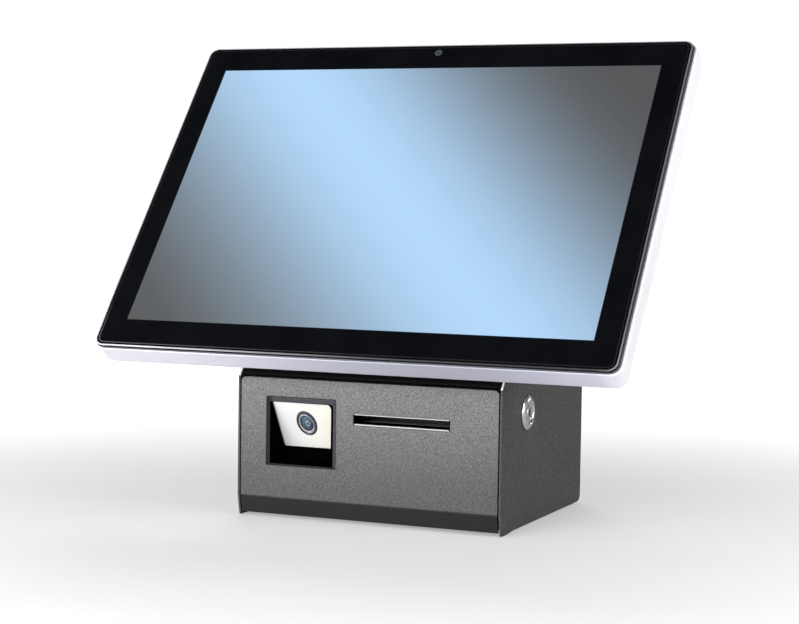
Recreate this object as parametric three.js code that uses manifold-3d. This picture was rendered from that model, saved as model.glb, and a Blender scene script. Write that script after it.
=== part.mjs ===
// Countertop self-service ticket terminal: sheet-metal wedge base with a
// drop-down front door, ticket printer, code scanner, side lock and a tilted
// touch display on a bracket. Millimetres, +X right, +Y back, +Z up; origin at
// the bottom centre of the bounding box.
import * as THREE from 'three';
import { mergeVertices } from 'three/addons/utils/BufferGeometryUtils.js';
import Module from 'manifold-3d';

const wasm = await Module();
wasm.setup();

// ---------------------------------------------------------------- dimensions
const Y_SHIFT = 76.168;            // door front plane sits this far in front of the origin
const SHEET = 2;                  // sheet-metal thickness
const SIDE = 1.8;                 // side plate thickness
const BASE_HALF = 118;            // half width over the side plates
const INNER_HALF = BASE_HALF - SIDE;
const PANEL_HALF = INNER_HALF - 0.3;  // floor, cover and rear panel between the side plates
const DOOR_HALF = 115.1;
const BASE_DEPTH = 203.6;
const rear = (d) => BASE_DEPTH - d;   // distance in from the back face
const ROOF_Z = 291;
const FACE_TOP = 118;             // where the vertical front turns into the slope
const FOLD_Z = 18;                // where the door folds back into the kick
const TILT = 37.73 * Math.PI / 180;   // display and slope, back from vertical
const PIVOT = [0, 46.8, 272.6];   // centre of the display glass front
const GLASS = { w: 456, h: 330, t: 2.5, r: 8.5 };
const RIM_BACK = 24;              // glass front to the back of the display rim
const HUMP_BACK = 46;             // glass front to the back of the display hump
const SLOPE_GAP = 57.6;           // glass front to the slope of the base
const WINDOW = { x0: -91.6, x1: -27.3, z0: 44.4, z1: 102.4 };
const SLOT = { x0: -11.8, x1: 73.6, z0: 82.1, z1: 91.8 };
const HINGE = { y: 9, z: 9, r: 2 };
const LOCK = { y: 58.3, z: 94.7, flange: 14.3, barrel: 9.5, plug: 6.9 };
const CATCH_R = 34;               // lock axis to the door's catch pin
const SCAN_TILT = 31 * Math.PI / 180;
const SCAN = [-60.8, 14.3, 79.5];
const PLATEN = { y: 40, z: 81.3, r: 6 };
const MOTOR = { y: 45, z: 44 };
const ROLL = { y: 115, z: 55, r: 40, x0: -8.8, x1: 70.7 };
const MOD = 1;                    // gear module
const TEETH = { platen: 20, idler: 22, pinion: 12 };

// ------------------------------------------------------------------- helpers
const RUN = 24;                   // sides of a running shaft or hole
const toM = (g) => {
  const c = g.clone();
  c.deleteAttribute('normal');
  c.deleteAttribute('uv');
  const m = mergeVertices(c, 1e-4);
  return new wasm.Manifold(new wasm.Mesh({
    numProp: 3,
    vertProperties: new Float32Array(m.attributes.position.array),
    triVerts: new Uint32Array(m.index.array),
  }));
};
const toG = (m) => {
  const mesh = m.getMesh();
  const g = new THREE.BufferGeometry();
  const pos = new Float32Array(mesh.numVert * 3);
  for (let i = 0; i < mesh.numVert; i++)
    for (let k = 0; k < 3; k++) pos[3 * i + k] = mesh.vertProperties[i * mesh.numProp + k];
  g.setAttribute('position', new THREE.BufferAttribute(pos, 3));
  g.setIndex(new THREE.BufferAttribute(new Uint32Array(mesh.triVerts), 1));
  return g;
};
// base plus every `adds` geometry, less every `cuts` geometry
const solid = (base, adds = [], cuts = []) => {
  let m = toM(base);
  for (const a of adds) m = m.add(toM(a));
  for (const c of cuts) m = m.subtract(toM(c));
  return toG(m);
};
const bx = (x0, x1, y0, y1, z0, z1) => {
  const g = new THREE.BoxGeometry(x1 - x0, y1 - y0, z1 - z0);
  g.translate((x0 + x1) / 2, (y0 + y1) / 2, (z0 + z1) / 2);
  return g;
};
const polyShape = (pts) => new THREE.Shape(pts.map(([a, b]) => new THREE.Vector2(a, b)));
// outline in (x, z), filled from y0 to y1
const exY = (shape, y0, y1, seg = 6) => {
  const g = new THREE.ExtrudeGeometry(shape, { depth: y1 - y0, bevelEnabled: false, curveSegments: seg });
  g.rotateX(Math.PI / 2);
  g.translate(0, y1, 0);
  return g;
};
// outline in (y, z), filled from x0 to x1
const exX = (shape, x0, x1, seg = 6) => {
  const g = new THREE.ExtrudeGeometry(shape, { depth: x1 - x0, bevelEnabled: false, curveSegments: seg });
  g.applyMatrix4(new THREE.Matrix4().set(0, 0, 1, x0, 1, 0, 0, 0, 0, 1, 0, 0, 0, 0, 0, 1));
  return g;
};
const rrect = (x0, x1, z0, z1, r) => {
  const q = Array.isArray(r) ? r : [r, r, r, r];   // bottom-left, bottom-right, top-right, top-left
  const s = new THREE.Shape();
  s.moveTo(x0 + q[0], z0);
  s.lineTo(x1 - q[1], z0);
  if (q[1]) s.absarc(x1 - q[1], z0 + q[1], q[1], -Math.PI / 2, 0, false);
  s.lineTo(x1, z1 - q[2]);
  if (q[2]) s.absarc(x1 - q[2], z1 - q[2], q[2], 0, Math.PI / 2, false);
  s.lineTo(x0 + q[3], z1);
  if (q[3]) s.absarc(x0 + q[3], z1 - q[3], q[3], Math.PI / 2, Math.PI, false);
  s.lineTo(x0, z0 + q[0]);
  if (q[0]) s.absarc(x0 + q[0], z0 + q[0], q[0], Math.PI, Math.PI * 1.5, false);
  return s;
};
const cylX = (r, x0, x1, y, z, seg = RUN) => {
  const g = new THREE.CylinderGeometry(r, r, x1 - x0, seg);
  g.rotateZ(-Math.PI / 2);
  g.translate((x0 + x1) / 2, y, z);
  return g;
};
const cylY = (r, y0, y1, x, z, seg = 16, r2 = r) => {
  const g = new THREE.CylinderGeometry(r2, r, y1 - y0, seg);
  g.translate(x, (y0 + y1) / 2, z);
  return g;
};
const cylZ = (r, z0, z1, x, y, seg = 16) => {
  const g = new THREE.CylinderGeometry(r, r, z1 - z0, seg);
  g.rotateX(Math.PI / 2);
  g.translate(x, y, (z0 + z1) / 2);
  return g;
};
// profile of [radius, along] turned about Z, X or Y
const lathe = (pts, seg) => {
  const g = new THREE.LatheGeometry(pts.map(([r, a]) => new THREE.Vector2(r, a)), seg);
  const m = mergeVertices(g, 1e-4);
  return m;
};
const latheZ = (pts, seg, x, y, z = 0) => {
  const g = lathe(pts, seg);
  g.rotateX(Math.PI / 2);
  g.translate(x, y, z);
  return outward(g);
};
const latheX = (pts, seg, y, z) => {
  const g = lathe(pts, seg);
  g.rotateZ(-Math.PI / 2);
  g.translate(0, y, z);
  return outward(g);
};
const latheY = (pts, seg, x = 0, z = 0) => {
  const g = lathe(pts, seg);
  g.translate(x, 0, z);
  return outward(g);
};
// flips a closed mesh whose faces look inward, and drops faces of no area
function outward(g) {
  g = g.clone();
  g.deleteAttribute('normal');
  g.deleteAttribute('uv');
  g = mergeVertices(g, 1e-4);
  const p = g.attributes.position, ix = g.index.array;
  const keep = [];
  let v = 0;
  const a = new THREE.Vector3(), b = new THREE.Vector3(), c = new THREE.Vector3();
  for (let i = 0; i < ix.length; i += 3) {
    if (ix[i] === ix[i + 1] || ix[i + 1] === ix[i + 2] || ix[i] === ix[i + 2]) continue;
    a.fromBufferAttribute(p, ix[i]); b.fromBufferAttribute(p, ix[i + 1]); c.fromBufferAttribute(p, ix[i + 2]);
    v += a.dot(b.clone().cross(c));
    keep.push(ix[i], ix[i + 1], ix[i + 2]);
  }
  if (v < 0) for (let i = 0; i < keep.length; i += 3) [keep[i], keep[i + 1]] = [keep[i + 1], keep[i]];
  g.setIndex(keep);
  return g;
}
// closed solid through rounded-rectangle sections [y, halfW, halfH, r, x, z]
const loft = (secs, seg = 5) => {
  const n = 4 * (seg + 1), pos = [], idx = [];
  for (const [y, w, h, r, cx = 0, cz = 0] of secs)
    for (let k = 0; k < 4; k++)
      for (let i = 0; i <= seg; i++) {
        const t = (k + i / seg) * Math.PI / 2;
        const sx = k === 0 || k === 3 ? 1 : -1, sz = k < 2 ? 1 : -1;
        pos.push(cx + sx * (w - r) + r * Math.cos(t), y, cz + sz * (h - r) + r * Math.sin(t));
      }
  for (let s = 0; s + 1 < secs.length; s++)
    for (let i = 0; i < n; i++) {
      const a = s * n + i, b = s * n + (i + 1) % n;
      idx.push(a, b, b + n, a, b + n, a + n);
    }
  for (let i = 1; i + 1 < n; i++) {
    idx.push(0, i + 1, i);
    const o = (secs.length - 1) * n;
    idx.push(o, o + i, o + i + 1);
  }
  const g = new THREE.BufferGeometry();
  g.setAttribute('position', new THREE.Float32BufferAttribute(pos, 3));
  g.setIndex(idx);
  return outward(g);
};
// band of the given thickness to the right of an open polyline in (y, z)
const band = (pts, t) => {
  const n = pts.length, inner = [];
  const nrm = (p, q) => {
    const d = Math.hypot(q[0] - p[0], q[1] - p[1]);
    return [(q[1] - p[1]) / d, -(q[0] - p[0]) / d];
  };
  for (let i = 0; i < n; i++) {
    const a = i > 0 ? nrm(pts[i - 1], pts[i]) : nrm(pts[0], pts[1]);
    const b = i < n - 1 ? nrm(pts[i], pts[i + 1]) : a;
    const k = t / (1 + a[0] * b[0] + a[1] * b[1]);
    inner.push([pts[i][0] + (a[0] + b[0]) * k, pts[i][1] + (a[1] + b[1]) * k]);
  }
  return polyShape([...pts, ...inner.reverse()]);
};
// spur gear outline about (cy, cz) in the (y, z) plane, first tooth at angle ph
const gearShape = (teeth, cy, cz, ph) => {
  const rp = teeth * MOD / 2, ra = rp + 0.85 * MOD, rf = rp - 1.1 * MOD;
  const pitch = 2 * Math.PI / teeth, pts = [];
  for (let i = 0; i < teeth; i++) {
    const t = ph + i * pitch;
    for (const [r, f] of [[rf, -0.31], [ra, -0.115], [ra, 0.115], [rf, 0.31]])
      pts.push([cy + r * Math.cos(t + f * pitch), cz + r * Math.sin(t + f * pitch)]);
  }
  return polyShape(pts);
};
const root = new THREE.Group();
root.name = 'ticket_terminal';
const frame = new THREE.Group();
frame.name = 'shifted_frame';
frame.position.set(0, -Y_SHIFT, 0);
root.add(frame);
const LOOK = {
  powder: [0x4d4d4e, 0.62, 0.25], inner_steel: [0xa9adb0, 0.38, 0.9], rubber: [0x1a1a1b, 0.9, 0],
  glass: [0x0e0f13, 0.06, 0], white_shell: [0xe9e9ef, 0.3, 0], trim: [0xb9b7c0, 0.35, 0.4],
  black_plastic: [0x17171a, 0.5, 0], diffuser: [0xf4f2e8, 0.4, 0], lens: [0x5c7388, 0.08, 0.1],
  chrome: [0xd7d8da, 0.12, 1], screw: [0xb8bbbf, 0.3, 0.95], board: [0x1f5b3a, 0.55, 0.05],
  steel: [0xc2c5c8, 0.25, 1], gear: [0xe4e0d2, 0.5, 0], paper: [0xf6f6f2, 0.85, 0],
  platen: [0x242427, 0.75, 0], panel: [0x6f7478, 0.4, 0.5],
};
const put = (parent, name, geo, look, pos) => {
  const [color, roughness, metalness] = LOOK[look];
  const g = outward(geo);
  g.computeVertexNormals();
  const m = new THREE.Mesh(g, new THREE.MeshStandardMaterial({ color, roughness, metalness }));
  m.name = name;
  if (pos) m.position.set(...pos);
  parent.add(m);
  return m;
};
const group = (name, pos, rx = 0) => {
  const g = new THREE.Group();
  g.name = name;
  g.position.set(...pos);
  g.rotation.x = rx;
  frame.add(g);
  return g;
};

// ---------------------------------------------------------------- base shell
const s = [Math.sin(TILT), Math.cos(TILT)];       // up the slope in (y, z)
const m = [Math.cos(TILT), -Math.sin(TILT)];      // into the base, normal to the slope
const roofY = (ROOF_Z - FACE_TOP) / s[1] * s[0];
const plateProfile = polyShape([
  [0, FOLD_Z], [3, 2.9], [4.1, 0.4], [16.8, 0.4], [31.9, 1.6], [rear(9.6), 1.6], [rear(1.2), 3.8],
  [BASE_DEPTH, 5.6], [BASE_DEPTH, ROOF_Z], [roofY, ROOF_Z], [0, FACE_TOP]]);
for (const [side, k] of [['left', -1], ['right', 1]]) {
  const x = (a, b) => k > 0 ? [a, b] : [-b, -a];
  const adds = [bx(...x(102, INNER_HALF + 1), rear(4.3), rear(2.3), 10, 286)];
  const cuts = [
    cylY(1.75, rear(8.4), rear(1.4), k * 107.5, 26, 12), cylY(1.75, rear(8.4), rear(1.4), k * 107.5, 270, 12)];
  if (k > 0) cuts.push(cylX(LOCK.barrel + 0.3, 112, 120, LOCK.y, LOCK.z));
  put(frame, `side_plate_${side}`, solid(exX(plateProfile, ...x(INNER_HALF, BASE_HALF)), adds, cuts), 'powder');
}
// floor with side lips and the two hinge lugs that stand in front of it
const FLOOR = [5.2, 7.2];
{
  const adds = [], cuts = [];
  for (const k of [-1, 1]) {
    const x = (a, b) => k > 0 ? [a, b] : [-b, -a];
    adds.push(bx(...x(PANEL_HALF - 2, PANEL_HALF), 34, 191, 5.2, 18));
    adds.push(bx(...x(105.7, 108.2), HINGE.y, 26, 5.2, HINGE.z + 4.3));
    adds.push(cylX(4.3, ...x(105.7, 108.2), HINGE.y, HINGE.z, 24));
    cuts.push(cylX(HINGE.r + 0.12, ...x(104, 110), HINGE.y, HINGE.z));
    for (const y of [34, 180]) cuts.push(cylZ(3.4, 4, 9, k * 92, y, 16));
  }
  for (let i = 0; i < 5; i++) cuts.push(bx(-70 + i * 12, -66 + i * 12, 110, 150, 4, 9));
  put(frame, 'base_plate', solid(bx(-PANEL_HALF, PANEL_HALF, 14.6, rear(4.6), ...FLOOR), adds, cuts), 'inner_steel');
}
// slope and roof in one bent sheet, with a lip over the door
{
  const on = (L, d = 0.3) => [d * m[0] + s[0] * L, FACE_TOP + d * m[1] + s[1] * L];
  const at = (z, d = 0.3) => on((z - FACE_TOP - d * m[1]) / s[1], d);
  const outer = [[16, 118.2], at(118.2), at(ROOF_Z - 0.3), [BASE_DEPTH, ROOF_Z - 0.3]];
  const g = exX(band(outer, SHEET), -PANEL_HALF, PANEL_HALF);
  const local = (geo) => { geo.rotateX(-TILT); geo.translate(...PIVOT); return geo; };
  const cuts = [local(cylY(13.2, 50, 70, 0, 0, 20))];
  for (const x of [-70, 70]) for (const z of [-45, 45]) cuts.push(local(cylY(2.5, 50, 70, x, z, 12)));
  put(frame, 'top_cover', solid(g, [], cuts), 'powder');
}
{
  const cuts = [];
  for (const x of [-107.5, 107.5]) for (const z of [26, 270]) cuts.push(cylY(1.75, rear(4.4), rear(-1.6), x, z, 12));
  cuts.push(bx(-83.9, -56.1, rear(4.4), rear(-1.6), 29.9, 50.1));       // power inlet
  cuts.push(bx(-40.2, -27.8, rear(4.4), rear(-1.6), 30.2, 49.8));       // switch
  cuts.push(cylY(8.2, rear(4.4), rear(-1.6), 60, 40, 24));              // cable outlet
  for (let r = 0; r < 2; r++) for (let i = 0; i < 9; i++)
    cuts.push(bx(-82 + i * 19, -77 + i * 19, rear(4.4), rear(-1.6), 190 + r * 38, 222 + r * 38));
  put(frame, 'rear_panel', solid(bx(-PANEL_HALF, PANEL_HALF, rear(2), rear(0), 7.6, 288.4), [], cuts), 'powder');
}
for (const [n, x, y] of [['front_left', -92, 34], ['front_right', 92, 34], ['rear_left', -92, 180], ['rear_right', 92, 180]])
  put(frame, `foot_${n}`, latheZ([[0, 0], [9, 0], [9.6, 0.8], [9.2, 4.9], [3.1, 4.9], [3.1, 7.5], [4.1, 7.9], [3.2, 10], [0, 10]], 16, x, y), 'rubber');
for (const [n, x, z] of [['ul', -107.5, 270], ['ur', 107.5, 270], ['ll', -107.5, 26], ['lr', 107.5, 26]])
  put(frame, `rear_screw_${n}`, solid(
    latheY([[0, rear(7.4)], [1.45, rear(7.4)], [1.45, rear(-0.3)], [3.3, rear(-0.3)], [3.1, rear(-1.5)], [2, rear(-2.2)], [0, rear(-2.2)]], 12, x, z),
    [], [bx(x - 2, x + 2, rear(-1.2), rear(-3.6), z - 0.45, z + 0.45)]), 'screw');
for (const [side, k] of [['left', -1], ['right', 1]]) {
  const x = (a, b) => k > 0 ? [a, b] : [-b, -a];
  put(frame, `hinge_pin_${side}`, solid(cylX(HINGE.r, ...x(103.6, 114.6), HINGE.y, HINGE.z),
    [cylX(3.6, ...x(102.4, 105.3), HINGE.y, HINGE.z, 20)], []), 'steel');
}

// ------------------------------------------------------------- door and catch
{
  const face = rrect(-DOOR_HALF, DOOR_HALF, FOLD_Z, 117.4, [0, 0, 4, 4]);
  const kick = polyShape([[0, FOLD_Z + 0.6], [0, FOLD_Z], [3, 3], [4.96, 3.39], [2, 18.19], [2, FOLD_Z + 0.6]]);
  const adds = [exX(kick, -DOOR_HALF, DOOR_HALF), bx(-111, 111, 1, 11, 115.4, 117.4)];
  const cuts = [];
  for (const k of [-1, 1]) {
    const x = (a, b) => k > 0 ? [a, b] : [-b, -a];
    adds.push(bx(...x(DOOR_HALF - 2, DOOR_HALF), 1, 14, 20, 112));
    adds.push(bx(...x(109, 114.6), 3, HINGE.y, 6, 12));
    adds.push(cylX(3.9, ...x(109, 114.6), HINGE.y, HINGE.z, 24));
    cuts.push(cylX(HINGE.r + 0.09, ...x(108, 116), HINGE.y, HINGE.z));
  }
  cuts.push(exY(rrect(WINDOW.x0, WINDOW.x1, WINDOW.z0, WINDOW.z1, 1.2), -1, 2.5, 3));
  cuts.push(exY(rrect(SLOT.x0, SLOT.x1, SLOT.z0, SLOT.z1, 1), -1, 2.5, 3));
  put(frame, 'front_door', solid(exY(face, 0, 2), adds, cuts), 'powder');
  // angle bracket welded inside the sheet, with the pin that the cam takes hold of
  put(frame, 'door_catch', solid(bx(92, 94, 2.05, 28.5, 86, 103), [bx(80, 94, 2.05, 3.8, 86, 103)],
    [cylX(2.1, 91, 95, LOCK.y - CATCH_R, LOCK.z, 20)]), 'inner_steel');
  put(frame, 'catch_pin', solid(latheX([[0, 90.7], [2.9, 90.7], [3.4, 91.2], [3.4, 91.95], [2, 91.95], [2, 94.05], [2.5, 94.05], [2.5, 101.5], [2, 102], [0, 102]], 20, LOCK.y - CATCH_R, LOCK.z)), 'steel');
}
// guide behind the ticket slot: a funnel that narrows towards the cutter
{
  const cz = (SLOT.z0 + SLOT.z1) / 2, cx = (SLOT.x0 + SLOT.x1) / 2;
  const cut = loft([[-1, 42.2, 4.3, 0.6, cx, cz], [2.6, 42.2, 3.9, 0.6, cx, cz], [13.5, 41.6, 2.6, 0.6, cx, cz]], 2);
  put(frame, 'slot_guide', solid(exY(rrect(cx - 47, cx + 47, cz - 8, cz + 8, 2), 2.3, 12.6, 3),
    [exY(rrect(SLOT.x0 + 0.25, SLOT.x1 - 0.25, SLOT.z0 + 0.25, SLOT.z1 - 0.25, 0.9), 1.1, 2.6, 3)], [cut]), 'black_plastic');
}
// scanner: hood in the door window, tilted white face, lens
{
  const x0 = -88.3, x1 = -32.5, z0 = 45.8, z1 = 97.7;
  const flange = exY(rrect(-96.5, -23.4, 41, 106, 2), 2.3, 4.1, 3);
  const lip = exY(rrect(WINDOW.x0 + 0.3, WINDOW.x1 - 0.3, WINDOW.z0 + 0.3, WINDOW.z1 - 0.3, 1), 0.5, 3, 3);
  const tube = exY(rrect(x0 - 1.8, x1 + 1.8, z0 - 1.8, z1 + 3.2, 1), 3, 44, 3);
  const mouth = exY(rrect(x0, x1, z0, z1, [1, 1.5, 4.6, 1.5]), 0, 3, 5);
  const bore = exY(rrect(x0, x1, z0, z1 + 1.4, 0), 2.9, 46, 2);
  put(frame, 'scanner_hood', toG(toM(flange).add(toM(lip)).add(toM(tube)).subtract(toM(mouth)).subtract(toM(bore))
    .add(toM(bx(x0 - 1, x1 + 1, 27.7, 29.5, z0 - 1, 57.1)))), 'black_plastic');
  const g = group('scanner_frame', SCAN, SCAN_TILT);
  const oval = (rx, rz, y0, y1, seg = 24) => { const c = cylY(1, y0, y1, 0, 0, seg); c.scale(rx, 1, rz); return c; };
  put(g, 'scanner_diffuser', solid(exY(rrect(-27.1, 27.1, -25.7, 21.4, [2, 2, 0.6, 0.6]), 0, 2, 3), [], [oval(9.15, 12.35, -1, 3)]), 'diffuser');
  const ring = latheY([[7.0, 2.1], [7.0, -0.1], [7.6, -0.6], [8.2, -0.1], [8.8, -0.1], [9.2, -1.0], [10.0, -1.0], [10.35, -0.3], [10.35, 2.1], [7.0, 2.1]], 24);
  ring.scale(0.85, 1, 1.155);
  put(g, 'scanner_lens_ring', ring, 'black_plastic');
  const lens = latheY([[0, -0.9], [2.2, -0.75], [4.6, -0.3], [6.6, 0.5], [6.6, 2.1], [0, 2.1]], 20);
  lens.scale(0.85, 1, 1.155);
  put(g, 'scanner_lens', lens, 'lens');
  put(g, 'scanner_body', solid(exY(rrect(-23, 23, -21, 8.5, 2), 2.4, 19, 3), [bx(-18, 18, 18, 21, -14, 5)],
    [bx(-6, 6, 20, 22, -12, -8)]), 'black_plastic');
}

// ------------------------------------------------------------------- cam lock
{
  const bore = cylX(LOCK.plug + 0.1, 90, 124, LOCK.y, LOCK.z);
  put(frame, 'lock_body', solid(
    latheX([[0, 100], [LOCK.barrel, 100], [LOCK.barrel, 118.3], [LOCK.flange, 118.3], [LOCK.flange, 119.3], [13.2, 120.9], [9.6, 121.3], [8.6, 120.7], [0, 120.7]], 28, LOCK.y, LOCK.z),
    [], [bore]), 'chrome');
  put(frame, 'lock_nut', solid(cylX(13.4, 112.1, 115.9, LOCK.y, LOCK.z, 6), [], [cylX(LOCK.barrel + 0.35, 110, 117, LOCK.y, LOCK.z)]), 'steel');
  put(frame, 'lock_plug', solid(cylX(LOCK.plug, 99.2, 120.9, LOCK.y, LOCK.z), [bx(94.6, 99.6, LOCK.y - 2.6, LOCK.y + 2.6, LOCK.z - 2.6, LOCK.z + 2.6)],
    [bx(113, 123, LOCK.y - 0.8, LOCK.y + 0.8, LOCK.z - 4.2, LOCK.z + 4.2), bx(119.6, 123, LOCK.y - 1.9, LOCK.y + 1.9, LOCK.z - 2, LOCK.z + 2)]), 'chrome');
  // arm hangs down when open; a concentric slot takes the catch pin when closed
  const arm = new THREE.Shape();
  arm.absarc(0, 0, 9, 0, Math.PI, false);
  arm.lineTo(-8, -36);
  arm.absarc(-3, -37, 5, Math.PI, Math.PI * 1.5, false);
  arm.lineTo(4, -42);
  arm.absarc(4, -38, 4, -Math.PI / 2, 0, false);
  arm.lineTo(9, 0);
  const slot = new THREE.Shape();
  const a0 = -Math.PI / 2 - 0.42, a1 = -Math.PI / 2 + 0.095;
  slot.absarc(0, 0, CATCH_R + 3.7, a0, a1, false);
  slot.absarc(0, 0, CATCH_R - 3.3, a1, a0, true);
  const armG = exX(arm, 96.6, 98.9, 8), slotG = exX(slot, 95, 100, 8);
  const g = solid(armG, [], [slotG, bx(95, 100, -2.8, 2.8, -2.8, 2.8)]);
  g.translate(0, LOCK.y, LOCK.z);
  put(frame, 'lock_cam', g, 'steel');
}

// -------------------------------------------------------------------- printer
const WALL = { l: [-17.5, -16], r: [78, 79.5] };
const idler = (() => {
  const R1 = (TEETH.platen + TEETH.idler) / 2 * MOD + 0.06, R2 = (TEETH.pinion + TEETH.idler) / 2 * MOD + 0.06;
  const dy = MOTOR.y - PLATEN.y, dz = MOTOR.z - PLATEN.z, d = Math.hypot(dy, dz);
  const a = (R1 * R1 - R2 * R2 + d * d) / (2 * d), h = Math.sqrt(Math.max(0, R1 * R1 - a * a));
  return { y: PLATEN.y + a * dy / d - h * dz / d, z: PLATEN.z + a * dz / d + h * dy / d };
})();
{
  const wall = [[16, 7.5], [148, 7.5], [148, 60], [119.2, 60], [119.2, 55], [118.1, 51.8], [115, 50.5], [111.9, 51.8], [110.8, 55], [110.8, 60],
    [66, 60], [66, 100], [31, 100], [31, 72], [16, 72]];
  const adds = [exX(polyShape(wall), ...WALL.r), bx(-17, 79, 16, 148, 7.5, 9), bx(-17, 79, 62, 64, 70, 86),
    cylX(2, 79, 88.4, idler.y, idler.z)];
  const cuts = [cylX(3.09, -20, 82, PLATEN.y, PLATEN.z), cylX(5, 77, 81, MOTOR.y, MOTOR.z, 20),
    bx(-17.1, 79.1, 90, 140, 7, 10).translate(0, 0, 0)];
  const win = bx(-10, 70, 90, 140, 7, 10);
  put(frame, 'printer_chassis', solid(exX(polyShape(wall), ...WALL.l), adds, [cuts[0], cuts[1], win]), 'inner_steel');
}
put(frame, 'platen_roller', latheX([[0, -19], [2.99, -19], [2.99, -15], [PLATEN.r, -14.6], [PLATEN.r, 76.6], [2.99, 77], [2.99, 88], [0, 88]], RUN, PLATEN.y, PLATEN.z), 'platen');
const ang = (a, b) => Math.atan2(b.z - a.z, b.y - a.y);
{
  // phases put a tooth of one gear on a gap of the next along each centre line
  const pPlaten = ang(PLATEN, idler);
  const pIdler = ang(idler, PLATEN) + Math.PI / TEETH.idler;
  const along = ang(idler, MOTOR);
  const k = (along - pIdler) / (2 * Math.PI / TEETH.idler);
  const off = (k - Math.round(k)) * (2 * Math.PI / TEETH.idler);     // centre line past the nearest idler tooth
  const pPinion = ang(MOTOR, idler) + Math.PI / TEETH.pinion + off * TEETH.idler / TEETH.pinion;
  put(frame, 'platen_gear', solid(exX(gearShape(TEETH.platen, PLATEN.y, PLATEN.z, pPlaten), 80.2, 86.4), [cylX(5.4, 86, 87.6, PLATEN.y, PLATEN.z, 24)],
    [cylX(3.2, 78, 90, PLATEN.y, PLATEN.z)]), 'gear');
  put(frame, 'idler_gear', solid(exX(gearShape(TEETH.idler, idler.y, idler.z, pIdler), 80.2, 86.4), [cylX(4.4, 86, 87.6, idler.y, idler.z, 24)],
    [cylX(2.09, 78, 90, idler.y, idler.z)]), 'gear');
  put(frame, 'motor_pinion', solid(exX(gearShape(TEETH.pinion, MOTOR.y, MOTOR.z, pPinion), 80.2, 86.4), [], [cylX(2.09, 78, 90, MOTOR.y, MOTOR.z)]), 'gear');
}
put(frame, 'stepper_motor', solid(cylX(17.5, 50, 77.7, MOTOR.y, MOTOR.z, 24), [cylX(4.4, 77, 79.2, MOTOR.y, MOTOR.z, 20), cylX(2, 78, 88, MOTOR.y, MOTOR.z),
  bx(52, 66, MOTOR.y + 14, MOTOR.y + 21, MOTOR.z - 6, MOTOR.z + 6)], []), 'panel');
{
  const cuts = [];
  for (let i = 0; i < 4; i++) cuts.push(bx(-20, 82, 35.4 + i * 3.4, 37 + i * 3.4, 92.5, 99));
  put(frame, 'thermal_head', solid(bx(-15.6, 77.6, 33.4, 49.6, 88.3, 97), [bx(-13, 75, 49, 54, 89, 92)], cuts), 'panel');
}
{
  const z0 = 74.4, z1 = 101;
  const cuts = [exY(rrect(-11.5, 73.5, 84.3, 90.3, 1), 14, 32, 2), bx(-13.5, 75.5, 21.6, 24.4, 82.6, 99.6)];
  put(frame, 'cutter_housing', solid(bx(-17.2, 79.2, 16.2, 30.6, z0, z1), [], cuts), 'black_plastic');
  const edge = [[-12.6, 98.8], [-12.6, 91.4], [30.95, 92.8], [74.6, 91.4], [74.6, 98.8]];
  put(frame, 'cutter_blade', exY(polyShape(edge.slice().reverse()), 22.4, 23.6), 'steel');
}
put(frame, 'roll_spindle', latheX([[0, -20.4], [6, -20.4], [6, -17.9], [3.9, -17.9], [3.9, -14], [6.3, -12], [6.3, 72], [3.9, 74], [3.9, 79.9], [6, 79.9], [6, 82.4], [0, 82.4]], RUN, ROLL.y, ROLL.z), 'black_plastic');
put(frame, 'paper_roll', solid(cylX(ROLL.r, ROLL.x0, ROLL.x1, ROLL.y, ROLL.z, 36), [], [cylX(6.42, -20, 90, ROLL.y, ROLL.z)]), 'paper');

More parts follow.
